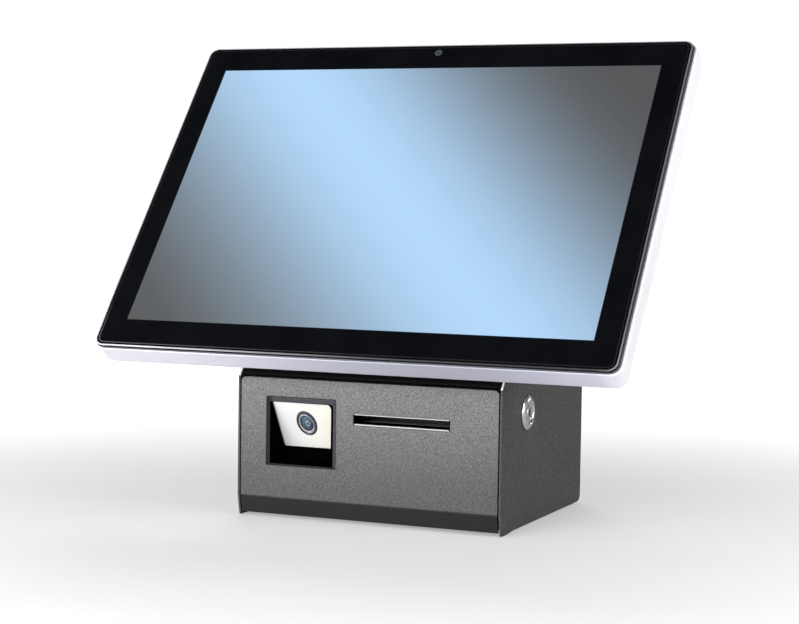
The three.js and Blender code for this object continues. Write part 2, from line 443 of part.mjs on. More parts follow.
// ---------------------------------------------------------------- electronics
{
  const adds = [bx(-90, -66, 36, 58, 14, 18.4), bx(-58, -44, 30, 44, 14, 17), bx(-96, -88, 64, 84, 14, 24), bx(-50, -30, 70, 84, 14, 22), bx(-84, -58, 72, 85, 14, 27)];
  for (const x of [-97, -27]) for (const y of [26, 82]) adds.push(cylZ(2.6, 7.5, 14, x, y, 12));
  put(frame, 'controller_board', solid(bx(-101, -23, 22, 87, 13, 14.6), adds, []), 'board');
  const vents = [];
  for (let i = 0; i < 6; i++) vents.push(bx(-99 + i * 9, -95 + i * 9, 104, 160, 43, 47));
  put(frame, 'power_supply', solid(bx(-105, -47, 92, 174, 7.5, 45), [bx(-100, -60, 173, 176.5, 12, 20)], vents), 'inner_steel');
}
{
  // appliance inlet with three blades in its socket
  const body = exY(rrect(-83.5, -56.5, 30.3, 49.7, 1), rear(20.4), rear(-0.6), 2);
  const flange = exY(rrect(-86, -54, 27.6, 52.4, 2.5), rear(-0.3), rear(-2.3), 3);
  const well = exY(polyShape([[-81.9, 33.1], [-58.1, 33.1], [-58.1, 44], [-62, 47.2], [-78, 47.2], [-81.9, 44]]), rear(15.4), rear(-3.6));
  let mm = toM(body).add(toM(flange)).subtract(toM(well));
  for (const [x, z] of [[-77, 39], [-63, 39], [-70, 42.6]]) mm = mm.add(toM(bx(x - 1, x + 1, rear(16.4), rear(1.9), z - 2, z + 2)));
  put(frame, 'power_inlet', toG(mm), 'black_plastic');
  const sb = exY(rrect(-40, -28, 30.5, 49.5, 0.8), rear(16.4), rear(-0.6), 2), sf = exY(rrect(-42, -26, 28, 52, 1.6), rear(-0.3), rear(-1.8), 3);
  put(frame, 'switch_bezel', solid(sb, [sf], [bx(-38.6, -29.4, rear(7.8), rear(-3.6), 31.4, 48.6)]), 'black_plastic');
  // rocker, tipped to its first position about an axle 2.8 in from the back face, 40 up
  const rk = polyShape([[-3.6, -2.4], [3.6, -2.4], [6.4, 1.6], [6.4, 1.6], [8.1, 2.2], [8.1, 4.2], [0, 3.1], [-8.1, 4.2], [-8.1, 2.2], [-6.4, 1.6]].filter((p, i, a) => !i || p[0] !== a[i - 1][0] || p[1] !== a[i - 1][1])
    .map(([u, w]) => {
      const t = 8 * Math.PI / 180;
      return [rear(2.8) + w * Math.cos(t) + u * Math.sin(t), 40 + u * Math.cos(t) - w * Math.sin(t)];
    }));
  put(frame, 'rocker', outward(exX(rk, -38.2, -29.8)), 'black_plastic');
  put(frame, 'cable_gland', solid(latheY([[0, rear(5.4)], [7, rear(5.4)], [7.9, rear(3.8)], [7.9, rear(-0.3)], [10.2, rear(-0.3)], [9.4, rear(-2.6)], [0, rear(-2.6)]], 16, 60, 40), [], [cylY(4.4, rear(8.4), rear(-5.6), 60, 40, 16)]), 'rubber');
}

// -------------------------------------------------------------------- display
const D = group('display_frame', PIVOT, -TILT);
const hw = GLASS.w / 2, hh = GLASS.h / 2;
put(D, 'glass_panel', loft([[0, hw - 0.5, hh - 0.5, GLASS.r - 0.5], [0.5, hw, hh, GLASS.r], [GLASS.t, hw, hh, GLASS.r]], 6), 'glass');
put(D, 'trim_ring', solid(loft([[2.8, hw - 0.5, hh - 0.5, GLASS.r], [4.4, hw - 0.5, hh - 0.5, GLASS.r]], 6), [],
  [exY(rrect(-hw + 4, hw - 4, -hh + 4, hh - 4, 5), 1, 6, 4)]), 'trim');
{
  const outer = loft([[4.9, hw - 0.6, hh - 0.6, 9], [5.5, hw, hh, 9.4], [21.6, hw, hh, 9.4], [RIM_BACK, hw - 2.6, hh - 2.6, 8]], 6);
  const hump = loft([[RIM_BACK - 1, 158, 112, 10], [RIM_BACK + 10, 153, 107, 12], [HUMP_BACK - 3, 148, 102, 12], [HUMP_BACK, 144.5, 98.5, 10]], 5);
  const in1 = loft([[2, hw - 2.6, hh - 2.6, 6.8], [21.5, hw - 2.6, hh - 2.6, 6.8]], 5);
  const in2 = loft([[20, 150, 104, 8], [RIM_BACK + 9.4, 150, 104, 9], [HUMP_BACK - 4.6, 145, 99, 9], [HUMP_BACK - 2.4, 143, 97, 8]], 4);
  let mm = toM(outer).add(toM(hump)).subtract(toM(in1).add(toM(in2)));
  const cuts = [cylY(11, 40, 50, 0, 0, 16), cylY(4.3, 18, 26, 192, -138, 16)];
  for (const x of [-50, 50]) for (const z of [-50, 50]) cuts.push(cylY(2.2, 40, 50, x, z, 10));
  for (let r = 0; r < 2; r++) for (let i = 0; i < 8; i++)
    cuts.push(bx(-106 + i * 27, -86 + i * 27, 40, 50, r ? 76 : 68, r ? 79 : 71));
  // port row along the lower side of the hump
  for (const [x, w] of [[-60, 16], [-36, 14], [-14, 14], [12, 18]]) cuts.push(bx(x, x + w, 30, 37, -112, -100));
  for (const c of cuts) mm = mm.subtract(toM(c));
  put(D, 'rear_housing', toG(mm), 'white_shell');
}
put(D, 'lcd_module', solid(bx(-207, 207, 5.2, 14, -142, 142), [bx(-180, 180, 13, 17, -120, 120)], []), 'panel');
put(D, 'display_board', solid(bx(-70, 80, 24, 25.6, -62, 62), [bx(-20, 20, 25, 33, -20, 20), bx(40, 70, 25, 30, -40, -16), bx(-58, -34, 25, 31, 24, 50), bx(-64, 30, 25, 30, -61, -52),
  ...[[-64, -56], [-64, 56], [74, -56], [74, 56]].map(([x, z]) => cylY(2.6, 17.3, 25, x, z, 12))], []), 'board');
put(D, 'camera_module', solid(bx(-14, 14, 5.2, 7.2, 147.5, 160.5), [cylY(3.6, 2.8, 6, 0.4, 155.2, 24)], [cylY(2.2, 2, 3.8, 0.4, 155.2, 20)]), 'black_plastic');
put(D, 'power_button', latheY([[0, 17.4], [5.4, 17.4], [5.4, 19.4], [3.9, 19.4], [3.9, 25.2], [3.4, 25.8], [0, 25.8]], 16, 192, -138), 'black_plastic');
{
  const adds = [];
  for (const k of [-1, 1]) {
    const x = (a, b) => k > 0 ? [a, b] : [-b, -a];
    adds.push(bx(...x(58, 60), 46.3, SLOPE_GAP - 0.3, -60, 60), bx(...x(58, 78), SLOPE_GAP - 2.3, SLOPE_GAP - 0.3, -60, 60));
    for (const z of [-45, 45]) adds.push(cylY(2, SLOPE_GAP - 1, SLOPE_GAP + 6, k * 70, z, 10));
  }
  const cuts = [cylY(16, 40, 52, 0, 0, 20)];
  for (const x of [-50, 50]) for (const z of [-50, 50]) cuts.push(cylY(2.3, 40, 52, x, z, 10));
  put(D, 'display_bracket', solid(bx(-60, 60, 46.3, 48.3, -60, 60), adds, cuts), 'powder');
}
for (const [n, x, z] of [['ul', -50, 50], ['ur', 50, 50], ['ll', -50, -50], ['lr', 50, -50]])
  put(D, `vesa_screw_${n}`, solid(latheY([[0, 40.5], [1.9, 40.5], [1.9, 48.6], [3.9, 48.6], [3.7, 50], [2.6, 51], [0, 51]], 12, x, z), [],
    [bx(x - 2.4, x + 2.4, 50, 52, z - 0.5, z + 0.5)]), 'screw');
put(D, 'cable_grommet', solid(latheY([[0, 56.2], [15.5, 56.6], [15.5, 57.3], [12.8, 57.6], [12.8, 60.2], [15, 60.4], [14.2, 61.6], [0, 61.6]], 20), [], [cylY(8.6, 50, 70, 0, 0, 16)]), 'rubber');

export default root;
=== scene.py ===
import math
import bmesh
import bpy
from mathutils import Matrix, Vector


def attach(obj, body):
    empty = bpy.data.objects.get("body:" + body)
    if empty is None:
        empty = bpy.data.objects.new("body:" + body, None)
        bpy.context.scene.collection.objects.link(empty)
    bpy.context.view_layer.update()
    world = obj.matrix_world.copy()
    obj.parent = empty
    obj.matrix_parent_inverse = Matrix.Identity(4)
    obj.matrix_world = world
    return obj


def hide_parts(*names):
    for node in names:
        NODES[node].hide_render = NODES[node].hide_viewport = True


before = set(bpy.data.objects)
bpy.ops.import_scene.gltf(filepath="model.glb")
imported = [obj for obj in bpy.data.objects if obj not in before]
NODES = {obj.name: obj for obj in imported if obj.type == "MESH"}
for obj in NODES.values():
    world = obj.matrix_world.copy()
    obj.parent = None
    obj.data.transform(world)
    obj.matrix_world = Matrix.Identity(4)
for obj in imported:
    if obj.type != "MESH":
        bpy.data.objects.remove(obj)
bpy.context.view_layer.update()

S = bpy.context.scene

# ------------------------------------------------------------------ the frame
Y_SHIFT = 76.168
TILT = math.radians(37.73)
PIVOT = (0.0, 46.8, 272.6)
BASE = Matrix.Scale(0.001, 4) @ Matrix.Translation((0, -Y_SHIFT, 0))
DISPLAY = BASE @ Matrix.Translation(PIVOT) @ Matrix.Rotation(-TILT, 4, "X")
SCAN = BASE @ Matrix.Translation((-60.8, 14.3, 79.5)) @ Matrix.Rotation(math.radians(31), 4, "X")
HW, HH = 228.0, 165.0
DOOR, PANEL, INNER, OUTER, DEPTH = 115.1, 115.9, 116.2, 118.0, 203.6


# ------------------------------------------------------------------ materials
def lin(c):
    c = c / 255.0
    return c / 12.92 if c <= 0.04045 else ((c + 0.055) / 1.055) ** 2.4


def rgb(r, g, b):
    return (lin(r), lin(g), lin(b), 1.0)


class Nodes:
    def __init__(self, name):
        self.m = bpy.data.materials.new(name)
        self.m.use_nodes = True
        self.t = self.m.node_tree
        self.bsdf = self.t.nodes["Principled BSDF"]
        self.co = self.t.nodes.new("ShaderNodeTexCoord").outputs["Object"]

    def new(self, kind, **values):
        n = self.t.nodes.new(kind)
        for k, v in values.items():
            if k in n.inputs:
                n.inputs[k].default_value = v
            else:
                setattr(n, k, v)
        return n

    def link(self, a, b):
        self.t.links.new(a, b)

    def noise(self, scale, detail=3.0, rough=0.55, stretch=None, turn=(0, 0, 0)):
        n = self.new("ShaderNodeTexNoise", Scale=scale, Detail=detail, Roughness=rough)
        if stretch:
            mp = self.new("ShaderNodeMapping")
            mp.inputs["Scale"].default_value = stretch
            mp.inputs["Rotation"].default_value = turn
            self.link(self.co, mp.inputs["Vector"])
            self.link(mp.outputs["Vector"], n.inputs["Vector"])
        else:
            self.link(self.co, n.inputs["Vector"])
        return n.outputs["Fac"]

    def ramp(self, fac, stops, mode="LINEAR"):
        r = self.new("ShaderNodeValToRGB")
        r.color_ramp.interpolation = mode
        e = r.color_ramp.elements
        while len(e) < len(stops):
            e.new(0.5)
        for k, (p, c) in enumerate(stops):
            e[k].position = p
            e[k].color = c if isinstance(c, (tuple, list)) else (c, c, c, 1)
        self.link(fac, r.inputs["Fac"])
        return r.outputs["Color"]

    def range(self, value, a, b, c, d, smooth=False):
        n = self.new("ShaderNodeMapRange")
        if smooth:
            n.interpolation_type = "SMOOTHSTEP"
        for i, v in zip(("From Min", "From Max", "To Min", "To Max"), (a, b, c, d)):
            n.inputs[i].default_value = v
        self.link(value, n.inputs["Value"])
        return n.outputs["Result"]

    def math(self, op, a, b=None):
        n = self.new("ShaderNodeMath", operation=op)
        for i, v in enumerate((a, b)):
            if v is None:
                continue
            if isinstance(v, (int, float)):
                n.inputs[i].default_value = v
            else:
                self.link(v, n.inputs[i])
        return n.outputs[0]

    def mix(self, fac, a, b, blend="MIX"):
        n = self.new("ShaderNodeMix", data_type="RGBA", blend_type=blend)
        for sock, v in ((n.inputs[0], fac), (n.inputs[6], a), (n.inputs[7], b)):
            if isinstance(v, (int, float)):
                sock.default_value = v
            elif isinstance(v, (tuple, list)):
                sock.default_value = v
            else:
                self.link(v, sock)
        return n.outputs[2]

    def bump(self, height, distance, strength=1.0, normal=None):
        n = self.new("ShaderNodeBump", Distance=distance, Strength=strength)
        self.link(height, n.inputs["Height"])
        if normal is not None:
            self.link(normal, n.inputs["Normal"])
        return n.outputs["Normal"]

    def set(self, **values):
        for k, v in values.items():
            sock = self.bsdf.inputs[k.replace("_", " ")]
            if hasattr(v, "is_output"):
                self.link(v, sock)
            else:
                sock.default_value = v
        return self.m


def plain(name, color, rough, metal=0.0, var=0.08, scale=60, fine=900, bump=0.00002, rvar=0.08, stretch=None, spec=0.5, coat=0.0, coat_rough=0.1):
    """Moulded or worked surface: slow tone drift, fine grain, uneven roughness."""
    n = Nodes(name)
    slow = n.noise(scale, 4, 0.6, stretch)
    lo = tuple(c * (1 - var) for c in color[:3]) + (1,)
    hi = tuple(min(1, c * (1 + var)) for c in color[:3]) + (1,)
    grain = n.noise(fine, 2, 0.6, stretch)
    n.set(Base_Color=n.ramp(slow, [(0.3, lo), (0.7, hi)]),
          Roughness=n.range(slow, 0.3, 0.7, max(0.02, rough - rvar), min(1, rough + rvar)),
          Metallic=metal, Normal=n.bump(grain, bump), Specular_IOR_Level=spec)
    if coat:
        n.set(Coat_Weight=coat, Coat_Roughness=coat_rough)
    return n.m


def powder(name, color, painted_shade=None, spec=0.3, amp=1.0, scale=880, stretch=None):
    """Fine-textured powder coat: sub-millimetre peel, speckle, slow drift. The optional painted_shade ramps multiply
    the colour by height: painted light and shade.
    """
    n = Nodes(name)
    peel = n.noise(scale, 1, 0.5, stretch or (1, 1, 1), (0.62, 0.41, 0.73))
    grit = n.noise(2300, 1, 0.6)
    slow = n.noise(11, 3, 0.5)
    lo = tuple(c * max(0.12, 1 - 0.40 * amp) for c in color) + (1,)
    hi = tuple(c * (1 + 0.44 * amp) for c in color) + (1,)
    col = n.ramp(n.range(peel, 0.36, 0.64, 0, 1), [(0.0, lo), (1.0, hi)])
    speck = n.range(grit, 0.60, 0.72, 0.0, 0.5)
    col = n.mix(speck, col, tuple(c * 1.9 for c in color) + (1,))
    col = n.mix(n.range(slow, 0.35, 0.65, 0.0, 0.20), col, tuple(c * 0.88 for c in color) + (1,))
    # painted light and shade: the colour is multiplied by ramps over height
    if painted_shade:
        z = n.new("ShaderNodeSeparateXYZ")
        n.link(n.co, z.inputs[0])
        for (a, b, lo_v, hi_v) in painted_shade:
            f = n.range(z.outputs["Z"], a, b, lo_v, hi_v, True)
            g = n.new("ShaderNodeCombineXYZ")
            for k in range(3):
                n.link(f, g.inputs[k])
            col = n.mix(1.0, col, g.outputs[0], "MULTIPLY")
    nrm = n.bump(peel, 0.00018, 0.9)
    nrm = n.bump(grit, 0.00005, 0.7, nrm)
    n.set(Base_Color=col, Roughness=n.range(grit, 0.3, 0.7, 0.52, 0.70), Metallic=0.0, Normal=nrm, Specular_IOR_Level=spec)
    return n.m


def brushed(name, color, rough, stretch, scale=300):
    n = Nodes(name)
    lines = n.noise(scale, 3, 0.7, stretch)
    slow = n.noise(30, 3, 0.5)
    lo = tuple(c * 0.82 for c in color) + (1,)
    hi = tuple(min(1, c * 1.08) for c in color) + (1,)
    n.set(Base_Color=n.ramp(n.range(slow, 0.3, 0.7, 0, 1), [(0.0, lo), (1.0, hi)]), Metallic=1.0,
          Roughness=n.range(lines, 0.3, 0.7, rough - 0.08, rough + 0.1), Normal=n.bump(lines, 0.00002, 0.6))
    return n.m


M = {}
M["powder"] = powder("m_powder", (0.052, 0.052, 0.053))
# door: painted light and shade. This copy of the coat is about twice as light as the side plates' (painted light on the
# face the key lamp falls on). The kick fold below about 17 mm is darkened to a tenth (painted shade), and the face
# grows lighter toward the top, 0.61 to 1.30 times.
M["powder_door"] = powder("m_powder_door", (0.101, 0.1005, 0.100), painted_shade=[(0.0165, 0.0190, 0.105, 1.0), (0.02, 0.118, 0.61, 1.30)], amp=0.92)
# side plates: a copy of the coat half as light as the door's, painted shade for the sides turned from the key lamp
M["powder_side"] = powder("m_powder_side", (0.049, 0.049, 0.0495), amp=0.92, scale=680, stretch=(1, 0.6, 1))
# slope: painted shade, near black up to 128 mm height where it lies under the display, 12.5 times lighter from 150 mm
# up
M["powder_slope"] = powder("m_powder_slope", (0.0032, 0.0032, 0.0034), painted_shade=[(0.128, 0.150, 1.0, 12.5)], spec=0.06)
M["zinc"] = brushed("m_zinc", (0.56, 0.58, 0.60), 0.34, (1, 1, 1), 120)
M["steel"] = brushed("m_steel", (0.62, 0.63, 0.65), 0.24, (1, 12, 12))
M["screw"] = brushed("m_screw", (0.55, 0.56, 0.58), 0.28, (8, 8, 8))
M["chrome"] = plain("m_chrome", (0.80, 0.81, 0.83), 0.09, 1.0, var=0.04, scale=150, fine=1200, bump=0.000004, rvar=0.04)
M["chrome_dark"] = plain("m_chrome_satin", (0.70, 0.71, 0.73), 0.16, 1.0, var=0.08, scale=250, fine=1500, bump=0.00001, rvar=0.06)
M["rubber"] = plain("m_rubber", (0.018, 0.018, 0.019), 0.82, var=0.2, scale=200, fine=1400, bump=0.00006)
M["black"] = plain("m_black_plastic", (0.012, 0.012, 0.014), 0.46, var=0.15, scale=120, fine=1300, bump=0.00005)
M["hood"] = plain("m_hood_plastic", (0.0009, 0.0009, 0.0012), 0.8, var=0.25, scale=90, fine=1200, bump=0.00006, spec=0.0)
M["slotlip"] = plain("m_slot_lip", (0.46, 0.46, 0.46), 0.36, var=0.06, scale=180, fine=1500, bump=0.00002)
M["lens"] = plain("m_lens", (0.075, 0.125, 0.175), 0.10, 0.1, var=0.25, scale=260, fine=600, bump=0.000002, rvar=0.03, coat=1.0, coat_rough=0.03)
M["lensring"] = plain("m_lens_ring", (0.055, 0.06, 0.085), 0.32, 0.35, var=0.12, scale=300, fine=1500, bump=0.00001)
M["gear"] = plain("m_acetal", (0.72, 0.70, 0.62), 0.42, var=0.05, scale=150, fine=1100, bump=0.00002)
M["platen"] = plain("m_platen", (0.02, 0.02, 0.022), 0.7, var=0.2, scale=300, fine=1500, bump=0.00003, stretch=(1, 6, 6))
M["alu"] = brushed("m_alu", (0.46, 0.48, 0.50), 0.38, (1, 10, 10), 200)
M["trim"] = plain("m_trim", (0.11, 0.125, 0.15), 0.5, 0.0, var=0.03, scale=60, fine=1200, bump=0.000005)
M["groove"] = plain("m_groove", (0.05, 0.055, 0.06), 0.6, var=0.1)


def along(n):
    """The display's own u (across) and w (up the glass), in millimetres."""
    sep = n.new("ShaderNodeSeparateXYZ")
    n.link(n.co, sep.inputs[0])
    u = n.math("MULTIPLY", sep.outputs["X"], 1000.0)
    yy = n.math("ADD", n.math("MULTIPLY", sep.outputs["Y"], 1000.0), Y_SHIFT - PIVOT[1])
    zz = n.math("ADD", n.math("MULTIPLY", sep.outputs["Z"], 1000.0), -PIVOT[2])
    w = n.math("ADD", n.math("MULTIPLY", yy, math.sin(TILT)), n.math("MULTIPLY", zz, math.cos(TILT)))
    return u, w


def edge_material(name, tint, stops, side, top, rough):
    """Polished edge of the glass with painted reflection: its tone is set along the length and differs on the sides and
    top; a slow random drift darkens it in places.
    """
    n = Nodes(name)
    u, w = along(n)
    # painted reflection along the length, then other tones for the sides and the top
    v = n.ramp(n.range(u, -230, 230, 0, 1), [((p + 230) / 460, tuple(k * t for t in tint) + (1,)) for p, k in stops])
    v = n.mix(n.range(w, -158, -120, 0, 1), v, tuple(side * t for t in tint) + (1,))
    v = n.mix(n.range(w, 161.5, 162.5, 0, 1), v, tuple(top * t for t in tint) + (1,))
    slow = n.noise(30, 3, 0.5)
    v = n.mix(n.range(slow, 0.3, 0.7, 0.0, 0.18), v, (0.02, 0.02, 0.025, 1))
    n.set(Base_Color=v, Roughness=n.range(slow, 0.3, 0.7, rough - 0.04, rough + 0.04), Normal=n.bump(n.noise(1500, 2, 0.6), 0.000003), Specular_IOR_Level=0.2)
    return n.m


# painted reflection: the glass edge is lighter at the left end, dark in the middle and lighter again at the right end;
# the thin line inside it is lighter toward the left
M["glass_edge"] = edge_material("m_ground_edge_painted_reflection", (1.0, 0.97, 1.04), [(-230, 0.66), (-182, 0.60), (-120, 0.36), (-52, 0.17), (20, 0.07), (60, 0.045), (160, 0.035), (210, 0.045), (221, 0.12), (228, 0.24)], 0.13, 0.32, 0.3)
M["glass_line"] = edge_material("m_edge_line_painted_reflection", (0.92, 1.0, 1.12), [(-230, 0.10), (-182, 0.08), (-52, 0.03), (60, 0.014), (228, 0.011)], 0.009, 0.03, 0.3)
M["glass_side"] = plain("m_glass_side", (0.004, 0.004, 0.006), 0.3, 0.0, var=0.2, scale=45, fine=1500, bump=0.000002, spec=0.1)
# near-white slanted front edges of the side plates: a painted highlight where they catch the light
M["sheet_edge"] = plain("m_side_edge_painted_highlight", (0.85, 0.86, 0.86), 0.35, 0.0, var=0.05, scale=200, fine=1500, bump=0.00002)
M["face_edge"] = plain("m_face_edge", (0.52, 0.43, 0.38), 0.5, 0.0, var=0.05, scale=200, fine=1500, bump=0.00002)


def shell_material():
    """Satin white moulding with a faint violet cast; the underside band carries painted light and shade across its
    length.
    """
    n = Nodes("m_shell")
    u, w = along(n)
    # painted light and shade on the underside: lighter at both ends, darker and bluer in the middle
    under = n.ramp(n.range(u, -230, 230, 0, 1), [((p + 230) / 460, (k, k * 0.99, k * (1.16 if -120 < p < 215 else 1.07), 1)) for p, k in
                   [(-230, 0.77), (-182, 0.73), (-138, 0.70), (-52, 0.55), (35, 0.43), (80, 0.405), (122, 0.425), (209, 0.60), (222, 0.80), (228, 0.90)]])
    slow = n.noise(14, 4, 0.6)
    body = n.ramp(n.range(slow, 0.3, 0.7, 0, 1), [(0, (0.84, 0.84, 0.875, 1)), (1, (0.86, 0.86, 0.89, 1))])
    col = n.mix(n.range(w, -164.4, -162.5, 1, 0), body, under)
    n.set(Base_Color=col, Roughness=n.range(slow, 0.3, 0.7, 0.36, 0.40), Normal=n.bump(n.noise(900, 2, 0.6), 0.000004), Specular_IOR_Level=0.4,
          Coat_Weight=0.12, Coat_Roughness=0.25)
    return n.m


M["shell"] = shell_material()


def lip_material():
    """Moulded frame of the recess, with painted shade darkening its left and lower sides."""
    n = Nodes("m_hood_lip")
    sep = n.new("ShaderNodeSeparateXYZ")
    n.link(n.co, sep.inputs[0])
    slow = n.noise(140, 3, 0.6)
    col = n.ramp(n.range(slow, 0.3, 0.7, 0, 1), [(0, (0.040, 0.037, 0.044, 1)), (1, (0.054, 0.050, 0.058, 1))])
    # painted shade: the left and lower sides darkened
    col = n.mix(n.range(sep.outputs["X"], -0.0885, -0.0850, 0.85, 0.0, True), col, (0.006, 0.006, 0.008, 1))
    col = n.mix(n.range(sep.outputs["Z"], 0.0455, 0.0480, 0.65, 0.0, True), col, (0.008, 0.008, 0.012, 1))
    n.set(Base_Color=col, Roughness=n.range(slow, 0.3, 0.7, 0.45, 0.6), Normal=n.bump(n.noise(1300, 2, 0.6), 0.00004), Specular_IOR_Level=0.08)
    return n.m


M["lip"] = lip_material()


def diffuser_material():
    """Translucent opal face with a faint warm emission: painted glow that evens out its shading."""
    n = Nodes("m_diffuser")
    sep = n.new("ShaderNodeSeparateXYZ")
    n.link(n.co, sep.inputs[0])
    slow = n.noise(40, 3, 0.6)
    warm = n.ramp(n.range(sep.outputs["X"], -0.088, -0.034, 0, 1), [(0.0, (0.90, 0.93, 0.96, 1)), (0.45, (0.97, 0.96, 0.92, 1)), (1.0, (1.0, 0.98, 0.86, 1))])
    rim = n.range(sep.outputs["X"], -0.0870, -0.0863, 1.0, 0.0)
    warm = n.mix(rim, warm, (0.50, 0.40, 0.34, 1))
    base = n.mix(1.0, n.mix(n.range(slow, 0.3, 0.7, 0.0, 0.06), warm, (0.7, 0.68, 0.6, 1)), (0.60, 0.60, 0.60, 1), "MULTIPLY")
    # Emission_Strength 0.27: painted glow that evens out the face's shading
    n.set(Base_Color=base, Roughness=n.range(slow, 0.3, 0.7, 0.38, 0.46),
          Normal=n.bump(n.noise(800, 2, 0.6), 0.00002), Coat_Weight=0.2, Coat_Roughness=0.2, Emission_Color=warm, Emission_Strength=0.27)
    return n.m


M["diffuser"] = diffuser_material()


def paper_material():
    n = Nodes("m_paper")
    sep = n.new("ShaderNodeSeparateXYZ")
    n.link(n.co, sep.inputs[0])
    dy = n.math("SUBTRACT", sep.outputs["Y"], (115 - Y_SHIFT) / 1000)
    dz = n.math("SUBTRACT", sep.outputs["Z"], 0.055)
    r = n.math("SQRT", n.math("ADD", n.math("MULTIPLY", dy, dy), n.math("MULTIPLY", dz, dz)))
    rings = n.math("FRACT", n.math("MULTIPLY", r, 1800.0))
    fib = n.noise(700, 4, 0.6)
    col = n.ramp(n.range(fib, 0.3, 0.7, 0, 1), [(0, (0.78, 0.77, 0.74, 1)), (1, (0.86, 0.86, 0.84, 1))])
    n.set(Base_Color=n.mix(n.range(rings, 0.0, 0.25, 0.22, 0.0), col, (0.5, 0.48, 0.44, 1)), Roughness=n.range(fib, 0.3, 0.7, 0.75, 0.92),
          Normal=n.bump(rings, 0.00005, 0.5))
    return n.m


M["paper"] = paper_material()


def board_material(name):
    n = Nodes(name)
    v = n.new("ShaderNodeTexBrick", Scale=1.0)
    v.offset = 0.35
    for k, val in (("Brick Width", 0.0075), ("Row Height", 0.0022), ("Mortar Size", 0.00022), ("Mortar Smooth", 0.1)):
        v.inputs[k].default_value = val
    v.inputs["Color1"].default_value = (0.012, 0.075, 0.035, 1)
    v.inputs["Color2"].default_value = (0.014, 0.085, 0.040, 1)
    v.inputs["Mortar"].default_value = (0.035, 0.16, 0.075, 1)
    n.link(n.co, v.inputs["Vector"])
    pads = n.new("ShaderNodeTexVoronoi", Scale=260.0)
    n.link(n.co, pads.inputs["Vector"])
    dots = n.range(pads.outputs["Distance"], 0.12, 0.16, 1, 0)
    grime = n.noise(60, 3, 0.6)
    n.set(Base_Color=n.mix(n.math("MULTIPLY", dots, 0.85), v.outputs["Color"], (0.55, 0.47, 0.28, 1)),
          Roughness=n.range(grime, 0.3, 0.7, 0.28, 0.45), Metallic=n.math("MULTIPLY", dots, 0.8), Normal=n.bump(v.outputs["Fac"], 0.00004, 0.5))
    return n.m


M["board"] = board_material("m_board")


def glass_material():
    """Cover glass: black printed border, lit panel with a diagonal sheen, lens dot."""
    n = Nodes("m_cover_glass")
    # the panel's own plane: u across, w up the tilted glass, both in millimetres
    sep = n.new("ShaderNodeSeparateXYZ")
    n.link(n.co, sep.inputs[0])
    u = n.math("MULTIPLY", sep.outputs["X"], 1000.0)
    yy = n.math("ADD", n.math("MULTIPLY", sep.outputs["Y"], 1000.0), Y_SHIFT - PIVOT[1])
    zz = n.math("ADD", n.math("MULTIPLY", sep.outputs["Z"], 1000.0), -PIVOT[2])
    w = n.math("ADD", n.math("MULTIPLY", yy, math.sin(TILT)), n.math("MULTIPLY", zz, math.cos(TILT)))
    # signed distance outside the lit rectangle
    dx = n.math("SUBTRACT", n.math("ABSOLUTE", u), 204.0)
    dw = n.math("SUBTRACT", n.math("ABSOLUTE", w), 137.4)
    inside = n.range(n.math("MAXIMUM", dx, dw), -0.25, 0.25, 1.0, 0.0)
    q = n.math("ADD", n.math("DIVIDE", u, 204.0), n.math("MULTIPLY", n.math("DIVIDE", w, 137.4), 0.65))
    q = n.range(q, -1.7, 1.7, 0.0, 1.0)
    stops = [(-1.62, (92, 93, 93)), (-1.44, (95, 98, 100)), (-1.29, (104, 110, 115)), (-1.126, (116, 127, 136)), (-0.97, (128, 143, 157)),
             (-0.776, (143, 165, 184)), (-0.582, (157, 185, 210)), (-0.388, (170, 203, 233)), (-0.194, (179, 215, 249)), (0.0, (182, 220, 255)),
             (0.194, (177, 213, 246)), (0.388, (166, 197, 227)), (0.582, (148, 174, 197)), (0.776, (130, 147, 164)), (0.97, (110, 121, 130)),
             (1.126, (98, 103, 108)), (1.28, (89, 91, 93)), (1.45, (86, 86, 87))]
    col = n.ramp(q, [((p + 1.7) / 3.4, rgb(*c)) for p, c in stops])
    # fine pixel pitch, faint
    pitch = n.noise(1400, 1, 0.5)
    col = n.mix(n.range(pitch, 0.3, 0.7, 0.0, 0.05), col, (0.2, 0.25, 0.32, 1))
    smudge = n.noise(26, 4, 0.6)
    # camera window above the panel
    cu = n.math("SUBTRACT", u, 0.4)
    cw = n.math("SUBTRACT", w, 155.2)
    r = n.math("SQRT", n.math("ADD", n.math("MULTIPLY", cu, cu), n.math("MULTIPLY", cw, cw)))
    dot = n.ramp(n.range(r, 0.0, 4.0, 0.0, 1.0), [(0.0, (0.10, 0.13, 0.15, 1)), (0.22, (0.012, 0.014, 0.018, 1)), (0.42, (0.03, 0.035, 0.04, 1)),
                                                 (0.62, (0.075, 0.08, 0.085, 1)), (0.80, (0.05, 0.055, 0.06, 1)), (0.86, (0.0042, 0.0044, 0.0058, 1))])
    base = n.mix(n.range(smudge, 0.35, 0.65, 0.0, 1.0), (0.0022, 0.0024, 0.0034, 1), (0.0034, 0.0037, 0.0050, 1))
    base = n.mix(n.range(r, 3.3, 3.5, 1.0, 0.0), base, dot)
    base = n.mix(inside, base, (0.002, 0.002, 0.002, 1))
    n.set(Base_Color=base, Roughness=n.range(smudge, 0.35, 0.65, 0.045, 0.085), Specular_IOR_Level=0.06,
          Emission_Color=col, Emission_Strength=n.math("MULTIPLY", inside, 1.0))
    return n.m


M["glass"] = glass_material()


# -------------------------------------------------------------- mesh builders
def obj_from(me, name, mats, matrix=None, angle=32):
    if matrix is not None:
        me.transform(matrix)
    if len(me.materials):
        me.materials.clear()
    for m in mats if isinstance(mats, list) else [mats]:
        me.materials.append(m)
    o = bpy.data.objects.new(name, me)
    S.collection.objects.link(o)
    smooth(me, angle)
    return o


